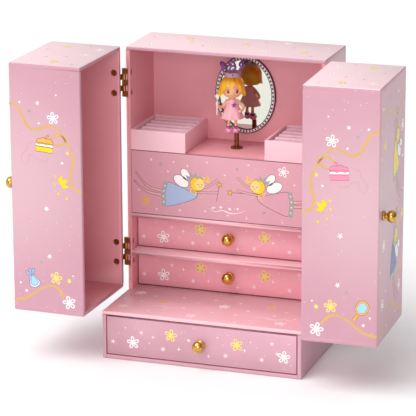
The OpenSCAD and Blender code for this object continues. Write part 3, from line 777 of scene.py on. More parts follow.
        thin = 0.5 * size
        for legs in ([(-31, 1), (-48, 5.5), (-60, 18.5)], [(-31, -3), (-50, 0.5), (-62, 10)]):
            flat = put(legs, 8)
            taper = np.linspace(3.0, 1.2, len(flat)) * size
            self.line(flat, taper, "skin", 1)
            for edge in stripe(flat, taper):
                self.line(edge, thin, "tan", 1.6)
        for centre, radii, lean in (((-13, 13), (8.4, 5.2), -30), ((-8.5, 20), (6.4, 4), -58)):
            flat = put(disc(centre, radii, 26, lean))
            self.fill(flat, "white", 1.3)
            self.line(flat, thin, "line", 1.9, ring=True)
        gown = [(-2, 3), (-14, 7.4), (-28, 10.6), (-30.5, -1), (-30, -13.2), (-12, -9), (2, -2.4), (3, 5)]
        gown = put(gown, 5, True)
        self.fill(gown, dress, 1.6)
        self.line(gown, thin, "line", 2.1, ring=True)
        hem = put([(-28.6, 11), (-31.4, -1), (-30.8, -13.6)], 9)
        self.line(hem, 4.6 * size * (1 + 0.1 * np.sin(np.arange(len(hem)) * 1.9)), "grey", 2.2)
        for i in range(3, len(hem) - 2, 4):
            self.dot(hem[i], 0.7 * size, "white", 2.8)
        for bones in ([(1, 3), (12, 3.4), (24.5, 4.6)], [(5, 7), (16, 10.8), (25, 18)]):
            flat = put(bones, 7)
            self.line(flat, 1.9 * size, "skin", 2.1)
            for edge in stripe(flat, 1.9 * size):
                self.line(edge, thin * 0.8, "tan", 2.4)
        hair = put(disc((3.6, 11.6), (7.4, 7.2), 30))
        self.fill(hair, "yellow", 2.4)
        self.line(hair, thin, "tan", 2.8, ring=True)
        self.fill(put(disc((6.2, 11.2), (4.9, 5.1), 28)), "face", 3)
        for x, z in ((-1.6, 13), (0.2, 16), (3.2, 17.4), (-1.4, 9.4), (8.6, 15.8)):
            self.line(put(disc((x, z), (2.0, 1.3), 12, 30)), thin * 0.9, "gold", 2.95, ring=True)
        for eye in (4.6, 8.4):
            self.line(put(arc((eye, 11.6), (1, 0.7), 200, 340, 9)), thin, "tan", 3.6)
        self.line(put(arc((6.8, 9.6), (1.3, 0.9), 200, 340, 9)), thin, "rose", 3.6)
        for x, z, r in (
            (-1.5, 4.6, 2.1), (0.6, 2.4, 1.6), (11.4, 16.4, 1.7), (14, 18.2, 1.3), (14.6, 15, 1.1),
        ):
            self.line(put(disc((x, z), (r, r), 14)), 0.8 * size, "yellow", 2.9, ring=True)
        crown = [(-6.4, 14.6), (-8.4, 19.6), (-4.6, 18), (-3.6, 22.6), (-0.6, 19.4), (2.2, 23)]
        crown += [(3.4, 18.8), (6.6, 20.2), (5, 16.6), (-1, 18.4)]
        self.fill(put(crown), "grey", 3)
        tip = np.array(star, float)
        grip = np.array([24.6, 4.6]) if star[1] > 4 else np.array([24.6, 2.0])
        self.line(put([grip - (tip - grip) * 1.1, grip, tip]), 0.5 * size, "line", 1.5)
        wand_star = put(star_outline(tip, 3.4, 10))
        self.fill(wand_star, "gold", 2)
        self.line(wand_star, thin, "tan", 2.4, ring=True)


def revolve(profile, centre, axis, count=40):
    """A profile of (distance along, radius) carried round an axis through the centre."""
    profile = np.asarray(profile, float)
    axis = np.asarray(axis, float)
    side = np.cross(axis, (0.3, 0.5, 0.81))
    side /= np.linalg.norm(side)
    other = np.cross(axis, side)
    a = np.linspace(0, 2 * math.pi, count, endpoint=False)
    round_ = np.cos(a)[:, None] * side + np.sin(a)[:, None] * other
    return np.asarray(centre, float) + profile[:, :1, None] * axis + profile[:, 1:, None] * round_[None]


def tube(path, radii, count=14):
    """A round section carried along a path: each ring is square to the path's own direction."""
    path = np.asarray(path, float)
    ahead = np.gradient(path, axis=0)
    ahead /= np.linalg.norm(ahead, axis=1, keepdims=True)
    side = np.cross(ahead, (0.21, 0.95, 0.13))
    side /= np.linalg.norm(side, axis=1, keepdims=True)
    other = np.cross(ahead, side)
    a = np.linspace(0, 2 * math.pi, count, endpoint=False)
    radii = np.broadcast_to(np.reshape(radii, (-1, 1, 1)), (len(path), 1, 1))
    square = np.cos(a)[:, None] * side[:, None] + np.sin(a)[:, None] * other[:, None]
    return path[:, None] + radii * square


def rounded_tube(path, radii, count=14):
    """A tube whose two ends close in half circles."""
    path = np.asarray(path, float)
    radii = np.broadcast_to(np.asarray(radii, float), (len(path),))
    least = 0.02
    a = np.radians(np.linspace(90, 8, 5))

    def cap(end, inner, radius, angles):
        """Points straight ahead of an end, as far as the half circle reaches at each angle."""
        return end + (end - inner) / np.linalg.norm(end - inner) * (radius * np.sin(angles))[:, None]

    first = cap(path[0], path[1], radii[0], a)
    last = cap(path[-1], path[-2], radii[-1], a[::-1])
    sizes = np.concatenate([radii[0] * np.cos(a), radii, radii[-1] * np.cos(a[::-1])])
    return tube(np.concatenate([first, path, last]), np.maximum(sizes, least), count)


def ball(centre, radii, rows, count):
    """An ellipsoid: rings of latitude from pole to pole, each with count points."""
    lat = np.radians(np.linspace(-90, 90, rows))[:, None]
    lon = np.linspace(0, 2 * math.pi, count, endpoint=False)[None]
    x = radii[0] * np.cos(lat) * np.cos(lon)
    y = radii[1] * np.cos(lat) * np.sin(lon)
    z = radii[2] * np.sin(lat) * np.ones_like(lon)
    return np.stack([x, y, z], -1) + np.asarray(centre, float)


# ---- Boards ----


def eased_board(node, body, slot, outer, inner=None, planes=None, local=None, soften=None, rims=()):
    """A CAD board with its edges rounded as wrapped paper is.

    planes maps local points to one true-false column for each outer plane. Edges on two of the planes
    get the full rounding, edges on a rim plane or inside a small one, and seams none. Faces on no outer
    plane take the inner paper, and outer faces of pale boards that look up take the top paper, whose
    paler colour is painted light from above.
    """
    size = settings("size")
    same_point, least_long = 1e-6, 9 * MM
    sharp_angle, looks_up = math.radians(40), 0.9
    mesh = frame["nodes"][node].data.copy()
    mesh.name = node + "_wrapped"
    mesh.materials.clear()
    for material in (outer, inner or outer, painted_light_top_paper()):
        mesh.materials.append(material)
    work = bmesh.new()
    work.from_mesh(mesh)
    bmesh.ops.remove_doubles(work, verts=work.verts, dist=same_point)
    bmesh.ops.dissolve_limit(work, angle_limit=math.radians(1), verts=work.verts, edges=work.edges)
    work.verts.ensure_lookup_table()
    flat = np.array([v.co for v in work.verts]) / MM
    if local:
        flat = local(flat)
    on = planes(flat) if planes else np.zeros((len(flat), 1), bool)
    weights = work.edges.layers.float.new("bevel_weight_edge")
    small = (soften or size.rim_round) / size.edge_round
    for edge in work.edges:
        a, b = (v.index for v in edge.verts)
        shared = int((on[a] & on[b]).sum())
        sharp = len(edge.link_faces) == 2 and edge.calc_face_angle(0) > sharp_angle
        rim = planes is None or any(on[a, i] and on[b, i] for i in rims)
        if sharp and shared >= 2:
            edge[weights] = 1
        elif sharp and edge.calc_length() > least_long and rim:
            edge[weights] = small
        edge.smooth = not sharp or edge[weights] > 0
    for face in work.faces:
        face.smooth = True
        outside = on[[v.index for v in face.verts]].all(0).any()
        face.material_index = 0 if planes is None or outside else 1
        # Painted light: up-facing outer faces of pale boards take the paler top paper, standing in for light
        # from above
        if planes is not None and outside and face.normal.z > looks_up and slot == "pale_board":
            face.material_index = 2
    work.to_mesh(mesh)
    work.free()
    made = bpy.data.objects.new(node + "_wrapped", mesh)
    bpy.context.scene.collection.objects.link(made)
    bevel = made.modifiers.new("edges", "BEVEL")
    bevel.limit_method = "WEIGHT"
    bevel.width = size.edge_round * MM
    bevel.segments = 3
    bevel.harden_normals = True
    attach(made, body)
    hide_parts(node)
    return made


def cabinet_planes(points):
    """Which outer planes of the cabinet and its base each point lies on."""
    x, y, z = points.T
    above_deck = z > DECK_Z - ON_PLANE
    away = [abs(x) - HALF_W, y - BACK_Y, y - BASE_Y, z - TOP_Z, z, z - DECK_Z, y - FRONT_Y]
    planes = abs(np.stack(away, -1)) < ON_PLANE
    planes[:, -1] &= above_deck
    return planes


def box_planes(points, low, high):
    """Which of a box's six planes each point lies on: the three low ones, then the three high ones."""
    return np.stack([abs(points[:, i] - end[i]) < ON_PLANE for end in (low, high) for i in range(3)], -1)


def wing_planes(points):
    """Which outer planes of a closed wing each point lies on. The rim counts as one."""
    return box_planes(points, WING_LOW, WING_HIGH)


class JEWELBOX_OT_cabinet(bpy.types.Operator):
    """Paper-covered boards of the cabinet and its base"""

    bl_idname = "jewel_box.cabinet"
    bl_label = "Cabinet Boards"

    def execute(self, context):
        outer, inner = outside_paper(), inside_paper()
        for node in ("left_side_panel", "right_side_panel", "top_panel", "back_panel", "floor_panel"):
            slot = {"top_panel": "pale_board", "back_panel": "stage_board"}.get(node, "pink_board")
            eased_board(node, "cabinet", slot, outer, inner, cabinet_planes, rims=(2, 6))
        deck = shaded_paper("laminated_deck_paper", "deck", 0.95)
        eased_board("deck_panel", "cabinet", "pink_board", deck, inner, cabinet_planes, rims=(2,))
        eased_board("stage_panel", "cabinet", "stage_board", inner)
        fascia = shaded_paper("laminated_fascia_paper", "fascia", 0.95)
        eased_board("fascia_panel", "cabinet", "pink_board", fascia)
        eased_board("drawer_shelves", "cabinet", "pink_board", deck, soften=0.9)
        tray = shaded_paper("satin_tray_paper", "tray", 1.03, gloss=0.45, coat=0.1, dust=0)
        eased_board("ring_trays", "cabinet", "tray_board", tray, soften=0.4)
        return {"FINISHED"}


class JEWELBOX_OT_wings(bpy.types.Operator):
    """Paper-covered boards of the two wings"""

    bl_idname = "jewel_box.wings"
    bl_label = "Wing Boards"

    def execute(self, context):
        inner = inside_paper()
        for name, side in SIDES.items():
            for part, slot in (
                ("outer_wall", "pink_board"),
                ("front_panel", "pink_board"),
                ("meeting_wall", "pink_board"),
                ("end_panels", "pale_board"),
            ):
                wing, outer, local = f"{name}_wing", wing_paper(side), partial(closed, side)
                eased_board(f"{wing}_{part}", wing, slot, outer, inner, wing_planes, local, rims=(4,))
        return {"FINISHED"}


class JEWELBOX_OT_drawers(bpy.types.Operator):
    """Drawer fronts and flock-lined drawer boxes"""

    bl_idname = "jewel_box.drawers"
    bl_label = "Drawers"

    def execute(self, context):
        front = shaded_paper("laminated_drawer_paper", "drawer", 1.06)
        wall = shaded_paper("satin_drawer_wall_paper", "tray", 1, gloss=0.5, coat=0.05, dust=0)
        flock = velvet("flocked_drawer_lining", tuple(settings("paper").lining))
        for name in ("upper", "middle", "base"):
            outer = outside_paper() if name == "base" else front
            drawer = f"{name}_drawer"
            eased_board(drawer + "_front", drawer, "drawer_front_board", outer, soften=0.6)
            low, high = span_of(drawer + "_box")
            sides = partial(box_planes, low=low, high=high)
            eased_board(drawer + "_box", drawer, "drawer_lining_board", wall, flock, sides, rims=(5,))
        return {"FINISHED"}


# ---- Fittings ----


def knob_profile():
    """Foot disc, waist and ball, as (distance from the board, radius)."""
    least = 0.02
    foot = [(0, 4.3), (0.5, 4.75), (1.3, 4.75), (1.9, 4.1), (2.3, 3.1)]
    waist = [(2.7, 2.75), (3.2, 3.0)]
    ball_r, ball_at, flatter = 5.75, 8.0, 0.86
    a = np.radians(np.linspace(-62, 90, 18))
    globe = np.stack([ball_at + ball_r * flatter * np.sin(a), ball_r * np.cos(a)], -1)
    rows = np.concatenate([[(0, least)], foot, waist, globe])
    rows[-1, 1] = least
    return rows


class JEWELBOX_OT_brassware(bpy.types.Operator):
    """Knobs, hinges, screws and the movement's metal parts"""

    bl_idname = "jewel_box.brassware"
    bl_label = "Brassware"

    def execute(self, context):
        fitting = settings("fitting")
        brass = plated_metal("polished_brass_plate", tuple(fitting.brass), 0.16)
        satin = plated_metal("rolled_brass_hinge", tuple(fitting.hinge), 0.3)
        bronze = plated_metal("lacquered_bronze_tube", tuple(fitting.bronze), 0.25)
        zinc = plated_metal("die_cast_zinc", tuple(fitting.zinc), 0.5, 0.0006, 0.85)
        steel = plated_metal("ground_steel_comb", tuple(fitting.steel), 0.22, 0.0004, 0.9)
        plastic = painted_vinyl("moulded_pink_plastic", tuple(fitting.plastic))
        for node, made in frame["nodes"].items():
            if "hinge" in node:
                kind = satin
            elif node.endswith("knob_screw") or node in ("movement_bedplate", "movement_screws"):
                kind = zinc
            elif node == "movement_comb":
                kind = steel
            elif node in ("spindle_bush", "doll_spindle"):
                kind = bronze
            elif node.endswith("hooks"):
                kind = plastic
            else:
                kind = brass
            made.data.materials.clear()
            made.data.materials.append(kind)
        outward = opened(1, (PIVOT[0], PIVOT[1] - 1.0, 0)) - opened(1, (PIVOT[0], PIVOT[1], 0))
        for name, side in SIDES.items():
            direction = outward * (side, 1, 1)
            self.knob(f"{name}_wing_knob", f"{name}_wing", direction, brass)
        for name in ("upper", "middle", "base"):
            self.knob(f"{name}_drawer_knob", f"{name}_drawer", np.array([0, -1.0, 0]), brass)
        return {"FINISHED"}

    def knob(self, node, body, outward, brass):
        """The ball knob is turned about the axis that the CAD knob stands on."""
        points = node_points(node)
        away = points @ outward
        foot_layer = 0.05
        foot = points[away < away.min() + foot_layer].mean(0)
        turned = Surfaces()
        turned.grid(revolve(knob_profile(), foot, outward, 48))
        make_piece(node + "_turned", turned, [brass], body, (node,), angle=50)


class JEWELBOX_OT_mirror(bpy.types.Operator):
    """Oval mirror with its beaded, printed frame"""

    bl_idname = "jewel_box.mirror"
    bl_label = "Mirror"

    def execute(self, context):
        fitting = settings("fitting")
        low, high = span_of("mirror_frame")
        middle = (low + high) / 2
        half = (high - low) / 2
        wall = high[1]
        ring = Surfaces()
        # The moulded ring: a half-round section that narrows to the glass, as (inwards, forwards)
        section = [(0, 0), (0, -1.9), (0.5, -2.5), (1.3, -2.7), (3.6, -2.4), (4.1, -1.5), (4.1, -1.25)]
        section += [(1.9, -1.25), (1.9, 0)]
        a = np.linspace(0, 2 * math.pi, 120, endpoint=False)
        rows = []
        for inward, forward in section:
            x = middle[0] + (half[0] - inward) * np.cos(a)
            z = middle[2] + (half[2] - inward) * np.sin(a)
            rows.append(np.stack([x, np.full_like(a, wall + forward), z], -1))
        ring.grid(np.stack([*rows, rows[0]]), caps=False)
        maroon = painted_vinyl("moulded_maroon_frame", tuple(fitting.frame), rough=0.3)
        slot = "mirror_frame_print"
        make_piece("mirror_frame_moulding", ring, [maroon], "cabinet", ("mirror_frame",), 40)
        band_in, line_in, bead_count, bead_r = 2.4, 3.85, 58, 0.95
        beads = Print((0, wall - 2.62, 0), (1, 0, 0), (0, 0, 1))
        middle, half = middle[[0, 2]], half[[0, 2]]
        beads.line(disc(middle, half - band_in, 120), 2.7, "white", 2, ring=True)
        beads.line(disc(middle, half - line_in, 120), 0.7, "black", 3, ring=True)
        for t in np.arange(bead_count) * 2 * math.pi / bead_count:
            beads.dot(middle + (half - band_in) * (math.cos(t), math.sin(t)), bead_r, "black", 4)
        beads.finish("mirror_beading", "cabinet", slot)
        glass = frame["nodes"]["mirror_glass"]
        glass.data.materials.clear()
        glass.data.materials.append(silvered_glass("silvered_mirror_glass", tuple(fitting.glass)))
        return {"FINISHED"}


class JEWELBOX_OT_ring_rolls(bpy.types.Operator):
    """Velvet ring rolls in the two trays"""

    bl_idname = "jewel_box.ring_rolls"
    bl_label = "Ring Rolls"

    def execute(self, context):
        count, fill = 5, 0.85
        points = node_points("ring_rolls")
        # The crest height sets where the velvet's painted groove shade begins
        soft = velvet("short_pile_velvet", tuple(settings("fitting").velvet), points[:, 2].max())
        for name, side in SIDES.items():
            half = points[points[:, 0] * side > 0]
            low, high = half.min(0), half.max(0)
            pitch = (high[1] - low[1]) / count
            for i in range(count):
                y0 = low[1] + i * pitch
                cell = np.array([(low[0], y0, low[2]), (high[0], y0 + pitch, high[2])])
                stuffed = Surfaces()
                stuffed.grid(self.stuff(self.roll(cell), cell, side + i))
                piece, slot = f"{name}_tray_roll_{i + 1}", "ring_roll_velvet"
                made = make_piece(piece, stuffed, [soft], "cabinet", ("ring_rolls",), 60)
                finish = made.modifiers.new("smooth", "SUBSURF")
                finish.levels = finish.render_levels = 1
        return {"FINISHED"}

    def roll(self, cell):
        """A roll's cover: half a circle on a flat-sided foot, which shrinks quickly at the two ends."""
        middle, half = cell.mean(0), (cell[1] - cell[0]) / 2
        r = half[1] * 0.94
        spring = half[2] - r
        top = arc((0, spring), (r, r), 0, 180, 15)
        down = np.linspace(spring, 1 - half[2], 7)[1:]
        left = np.stack([np.full_like(down, -r), down], -1)
        floor = np.stack([np.linspace(1 - r, r - 1, 5), np.full(5, -half[2])], -1)
        right = left[::-1] * (-1, 1)
        section = np.concatenate([top, left, floor, right])
        s = np.linspace(-1, 1, 45)
        swell = 0.03 + 0.96 * (1 - abs(s) ** 30) ** 0.5
        grid = np.zeros((len(s), len(section), 3))
        grid[..., 0] = middle[0] + s[:, None] * half[0] * 0.995
        grid[..., 1:] = middle[1:] + swell[:, None, None] * section[None]
        return grid

    def stuff(self, grid, cell, seed):
        """Cloth under inner pressure, simulated at fifty times the size. Points move at most cap mm."""
        scale, cap, steps = 50 * MM, 0.22, 20
        scene = bpy.context.scene
        cover = Surfaces()
        cover.grid(grid)
        start_points = grid.reshape(-1, 3)
        mesh = bpy.data.meshes.new("cover")
        mesh.from_pydata((start_points * scale).tolist(), [], cover.faces)
        made = bpy.data.objects.new("cover", mesh)
        scene.collection.objects.link(made)
        ends = made.vertex_groups.new(name="gathered")
        across = grid.shape[1]
        last = len(start_points)
        ends.add([*range(across), *range(last - across, last)], 1.0, "REPLACE")
        cloth = made.modifiers.new("stuffing", "CLOTH")
        cloth.settings.quality = 4
        cloth.settings.mass = 0.02
        cloth.settings.tension_stiffness = 8
        cloth.settings.bending_stiffness = 0.05
        cloth.settings.vertex_group_mass = ends.name
        cloth.settings.use_pressure = True
        cloth.settings.uniform_pressure_force = 4 + 0.3 * seed
        cloth.settings.shrink_min = -0.06
        cloth.settings.effector_weights.gravity = 0
        for step in range(1, steps + 1):
            scene.frame_set(step)
        settled = made.evaluated_get(bpy.context.evaluated_depsgraph_get()).to_mesh()
        flat = np.zeros(last * 3, np.float32)
        settled.vertices.foreach_get("co", flat)
        moved = flat.reshape(-1, 3) / scale - start_points
        reach = np.linalg.norm(moved, axis=1, keepdims=True)
        points = start_points + moved * np.minimum(1, cap / np.maximum(reach, 1e-9))
        bpy.data.objects.remove(made)
        scene.frame_set(1)
        return np.clip(points, cell[0], cell[1]).reshape(grid.shape)


# ---- Doll ----


class JEWELBOX_OT_doll(bpy.types.Operator):
    """The doll on the spindle"""

    bl_idname = "jewel_box.doll"
    bl_label = "Doll"

    HEAD, HEAD_Z = (10.1, 9.2, 10.3), 44.6  # half sizes, and the height of the middle over the soles

    def execute(self, context):
        tone = settings("doll")
        legs_low, legs_high = span_of("doll_legs")
        self.foot = legs_low[2]
        self.x = (legs_low[0] + legs_high[0]) / 2
        self.y = span_of("doll_head")[0][1] / 2 + span_of("doll_head")[1][1] / 2
        self.skin = painted_vinyl("painted_vinyl_skin", tuple(tone.skin), rough=0.42)
        strands = tuple(tone.hair_light)
        self.hair = painted_vinyl("painted_vinyl_hair", tuple(tone.hair), strands, rough=0.33, mottle=0.009)
        self.dress = painted_vinyl("painted_vinyl_dress", tuple(tone.dress), rough=0.4)
        self.shoe = painted_vinyl("painted_vinyl_shoe", tuple(tone.shoe), rough=0.3)
        self.purple = painted_vinyl("painted_vinyl_purple", tuple(tone.purple), rough=0.3)
        self.band = painted_vinyl("painted_vinyl_band", tuple(tone.band), rough=0.25, mottle=0.0015)
        self.eye = painted_vinyl("painted_gloss_eye", tuple(tone.eye), rough=0.1)
        self.lip = painted_vinyl("painted_vinyl_lip", tuple(tone.lip), rough=0.35)
        self.wand = painted_vinyl("painted_vinyl_wand", tuple(tone.wand), rough=0.3)
        self.make_legs()
        self.make_body()
        self.make_head()
        self.make_hair()
        self.make_crown()
        return {"FINISHED"}

    def at(self, points):
        """Doll millimetres, from between the soles, turned aside and put on the spindle in the frame."""
        turned = np.array(points, float)
        turned[..., :2] = turn(turned[..., :2], settings("doll").look)
        return turned + (self.x, self.y, self.foot)

    def make_legs(self):
        """Legs whose radius swells and shrinks once, flat-soled shoes, cuffs and bows."""
        both = Surfaces()
        cuff_shape = [(-1.5, 1.2), (-1.4, 2.35), (0.6, 2.7), (1.3, 2.2), (1.3, 1.2)]
        for side in (-1, 1):
            x = 3.45 * side
            z = np.linspace(3, 16.5, 12)
            path = np.stack([np.full_like(z, x), np.full_like(z, 0.3), z], -1)
            both.grid(self.at(tube(path, 1.75 + 0.25 * np.cos((z - 3) / 13 * 5), 18)), 0)
            shoe = ball((x, -1.1, 2.9), (3.1, 4.4, 3.1), 18, 28)
            shoe[..., 2] = np.maximum(shoe[..., 2], 0.0)
            both.grid(self.at(shoe), 1)
            both.grid(self.at(revolve(cuff_shape, (x, 0.4, 5.6), (0, 0, 1), 24)), 2)
            bow = ball((x, -3.6, 5.0), (1.5, 1.0, 1.0), 10, 16)
            both.grid(self.at(bow), 2)
        materials = [self.skin, self.shoe, self.purple]
        make_piece("doll_legs_and_shoes", both, materials, "doll", ("doll_legs",), 45)

    def make_body(self):
        """Dress, arms, neck, wand and badge.

        The dress's radius falls from hem to neck, with seven soft folds that fade upwards.
        """
        whole = Surfaces()
        hem, neck, depth = 14.9, 33.8, 0.86
        z = np.concatenate([[hem], np.linspace(hem, neck, 26), [neck]])
        share = (z - hem) / 18.9
        radius = np.interp(share, [0, 0.12, 0.35, 0.62, 0.85, 1], [11.2, 10.6, 8.6, 6.5, 5.3, 3.4])
        radius[0], radius[-1] = 1.5, 0.6
        a = np.linspace(0, 2 * math.pi, 72, endpoint=False)
        folds = 1 + 0.055 * np.cos(a * 7 + 0.6)[None] * (1 - share[:, None]) ** 1.5
        grid = np.zeros((len(z), len(a), 3))
        grid[..., 0] = radius[:, None] * folds * np.cos(a)
        grid[..., 1] = radius[:, None] * folds * np.sin(a) * depth
        grid[..., 2] = z[:, None] + 0.35 * np.cos(a * 7 + 0.6)[None] * (share[:, None] < 0.03)
        whole.grid(self.at(grid), 1)
        piping = np.stack([11.1 * np.cos(a) * folds[1], 9.6 * np.sin(a) * folds[1], 15.3 + 0 * a], -1)
        piping = tube(piping, 0.42, 8)
        whole.grid(self.at(np.concatenate([piping, piping[:1]])), 1, caps=False)
        arms = {
            -1: [
                (-4.4, 0, 31.2), (-7.8, -0.6, 28.2), (-11.4, -2.4, 25.6), (-13.6, -5.2, 27.4),
                (-14.6, -6.6, 30.2),
            ],
            1: [(4.4, 0, 31.2), (8.0, 0.2, 29.2), (10.8, 0.2, 26.2), (9.8, -2.2, 23.4), (7.4, -4.4, 22.2)],
        }
        for side, bones in arms.items():
            path = smooth_line(bones, 7)
            radii = along(path, [0, 0.5, 0.85, 1], [1.9, 1.45, 1.25, 1.6])
            whole.grid(self.at(rounded_tube(path, radii)), 0)
            whole.grid(self.at(ball((4.6 * side, 0, 31.0), (2.5, 2.4, 2.3), 12, 20)), 1)
        whole.grid(self.at(ball((-14.7, -6.9, 30.8), (1.9, 1.7, 1.9), 12, 18)), 0)
        whole.grid(self.at(revolve([(0, 2.2), (4, 2.2)], (0, 0, 32.4), (0, 0, 1), 20)), 0)
        shaft = np.array([(-15.2, -8.6, 20.2), (-15.0, -8.6, 27), (-14.8, -8.6, 36)])
        whole.grid(self.at(rounded_tube(smooth_line(shaft, 4), 0.55, 10)), 2)
        star = star_outline((-14.7, 38.4), 2.9, 8)
        whole.prism(self.at(self.lift(star, -9.2)), self.at(self.lift(star, -8.0)), 2)
        # The badge follows the round of the dress
        badge = star_outline((1.6, 28.6), 2.9, -6)
        ahead = depth * np.sqrt(np.maximum(6.3**2 - badge[:, 0] ** 2, 0))
        front = np.stack([badge[:, 0], -ahead - 0.55, badge[:, 1]], -1)
        whole.prism(self.at(front), self.at(front + (0, 2.2, 0)), 3)
        materials = [self.skin, self.dress, self.wand, self.purple]
        make_piece("doll_dress_and_arms", whole, materials, "doll", ("doll_dress",), 45)

    def lift(self, flat, y):
        """Flat points stood up in the doll's front plane at depth y, one for all or one for each."""
        return np.stack([flat[:, 0], np.broadcast_to(y, len(flat)), flat[:, 1]], -1)

    def face_y(self, x, above, half_width=10.3):
        """The depth of the head's front, an ellipsoid, at a place beside and above its middle."""
        return -self.HEAD[1] * np.sqrt(1 - (x / half_width) ** 2 - (above / self.HEAD[2]) ** 2)

    def make_head(self):
        """Head with eyes, lashes, mouth, nose and cheeks, each laid on the front of the ellipsoid."""
        head = Surfaces()
        middle, jaw = self.HEAD_Z, 1.03
        skull = ball((0, 0, middle), self.HEAD, 30, 48)
        skull[skull[..., 2] < middle, 0] *= jaw
        head.grid(self.at(skull), 0)
        for x in (-4.1, 4.1):
            y = self.face_y(x, 1.9)
            head.grid(self.at(ball((x, y + 0.3, 42.7), (1.35, 0.8, 1.8), 12, 20)), 1)
            head.grid(self.at(ball((x - 0.35, y - 0.3, 43.3), (0.34, 0.18, 0.4), 8, 12)), 3)
            lash = arc((x, 43.6), (1.9, 1.3), 20, 160, 9)
            lash = self.lift(lash, self.face_y(lash[:, 0], lash[:, 1] - middle) - 0.05)
            head.grid(self.at(rounded_tube(lash, 0.17, 8)), 1)
        mouth = arc((0, 38.9), (1.7, 1.0), 205, 335, 9)
        mouth = self.lift(mouth, self.face_y(mouth[:, 0], mouth[:, 1] - middle, self.HEAD[0]) - 0.02)
        head.grid(self.at(rounded_tube(mouth, 0.24, 8)), 2)
        head.grid(self.at(ball((0, -9.1, 40.9), (0.75, 0.7, 0.6), 8, 14)), 0)
        for x in (-6.3, 6.3):
            y = self.face_y(x, 4.6)
            head.grid(self.at(ball((x, y + 0.2, 40.2), (1.5, 0.32, 1.0), 8, 18)), 4)
        blush = painted_vinyl("painted_vinyl_blush", linear("#E8907A"), rough=0.5)
        materials = [self.skin, self.eye, self.lip, self.wand, blush]
        make_piece("doll_face", head, materials, "doll", (), 60)

    def make_hair(self):
        """Bobbed hair: a shell round the head that ends at the fringe in front and flicks out below."""
        lon = np.linspace(0, 2 * math.pi, 120, endpoint=False)
        rows = 34
        front = np.cos(lon + math.pi / 2)  # 1 straight ahead, -1 behind
        sideways = np.cos(lon)
        face = 1 / (1 + np.exp(-(front - 0.7) * 24))
        fringe = 17 + 14 * sideways + 3 * np.sin(lon * 9)
        lowest = -33 + 4 * np.sin(lon * 6 + 1)
        end_lat = lowest * (1 - face) + fringe * face
        t = np.linspace(0, 1, rows)[:, None]
        lat = np.radians(90 + (end_lat[None] - 90) * t)
        strand = 0.28 * np.sin(lon * 26 + 2.2 * np.sin(t * 4)) + 0.3 * np.sin(lon * 11 - 1.5 * t)
        strand = strand * np.minimum(t * 3, 1)
        below = np.clip((-np.degrees(lat)) / 33, 0, 1) ** 2
        left = np.clip(-sideways, 0, 1)[None] ** 2
        right = np.clip(sideways, 0, 1)[None] ** 2
        behind = np.clip(-front, 0, 1)[None]
        flick = below * (1.2 + 6.2 * left + 2.6 * right + 1.5 * behind)
        swell = 1.5 + 0.5 * np.cos(lat)

        def shell(extra):
            """The head's ellipsoid, larger by extra and by the flick, and taller above its middle."""
            out = np.zeros((rows, len(lon), 3))
            out[..., 0] = (self.HEAD[0] + extra + flick) * np.cos(lat) * np.cos(lon)
            out[..., 1] = (self.HEAD[1] + extra + flick * 0.7) * np.cos(lat) * np.sin(lon)
            out[..., 2] = self.HEAD_Z + (self.HEAD[2] + extra) * np.sin(lat) * np.where(lat > 0, 1.1, 1)
            return out

        outer = shell(swell + strand * 0.8)
        inner = shell(-0.4 + 0 * swell)
        whole = Surfaces()
        whole.grid(self.at(np.concatenate([outer, inner[::-1]])))
        make_piece("doll_hair", whole, [self.hair], "doll", ("doll_head",), 60)

    def make_crown(self):
        """A turned band, and six curls with gems on it. A curl's points are (outwards, up, sideways)."""
        whole = Surfaces()
        base, ring_r = 56.4, 7.9
        band = [(0, 6.6), (0, 7.9), (1.2, 8.3), (3.6, 8.5), (4.4, 8.2), (4.4, 7.0), (2, 6.9)]
        band = revolve(band, (0, 0, base), (0, 0, 1), 60)
        whole.grid(self.at(np.concatenate([band, band[:1]])), 1, caps=False)
        curl = [(0, 4.2, -2.6), (0.6, 7.5, -3.2), (1.6, 11.0, -1.6), (2.2, 12.2, 0.8), (2.0, 10.4, 2.9)]
        curl += [(1.4, 8.4, 2.0), (1.0, 8.8, 0.6)]
        for turn_deg, lean in ((-90, 0), (-28, 1), (-152, -1), (90, 0), (35, 1), (145, -1)):
            a = math.radians(turn_deg)
            out = np.array([math.cos(a), math.sin(a), 0])
            tangent = np.array([-math.sin(a), math.cos(a), 0])
            path = []
            for o, z, s in curl:
                reach = ring_r + o + abs(lean) * (z - 4) * 0.24
                path.append(out * reach + tangent * s + np.array([0, 0, base + z]))
            line = smooth_line(path, 6)
            whole.grid(self.at(rounded_tube(line, along(line, [0, 0.5, 1], [0.95, 1.15, 0.75]), 12)), 0)
            gem = ball(out * 8.3 + (0, 0, base + 2.4), (1.0, 1.0, 1.2), 8, 14)
            whole.grid(self.at(gem), 0)
        materials = [self.purple, self.band]
        make_piece("doll_crown_painted", whole, materials, "doll", ("doll_crown",), 50)


# ---- Printed decoration ----


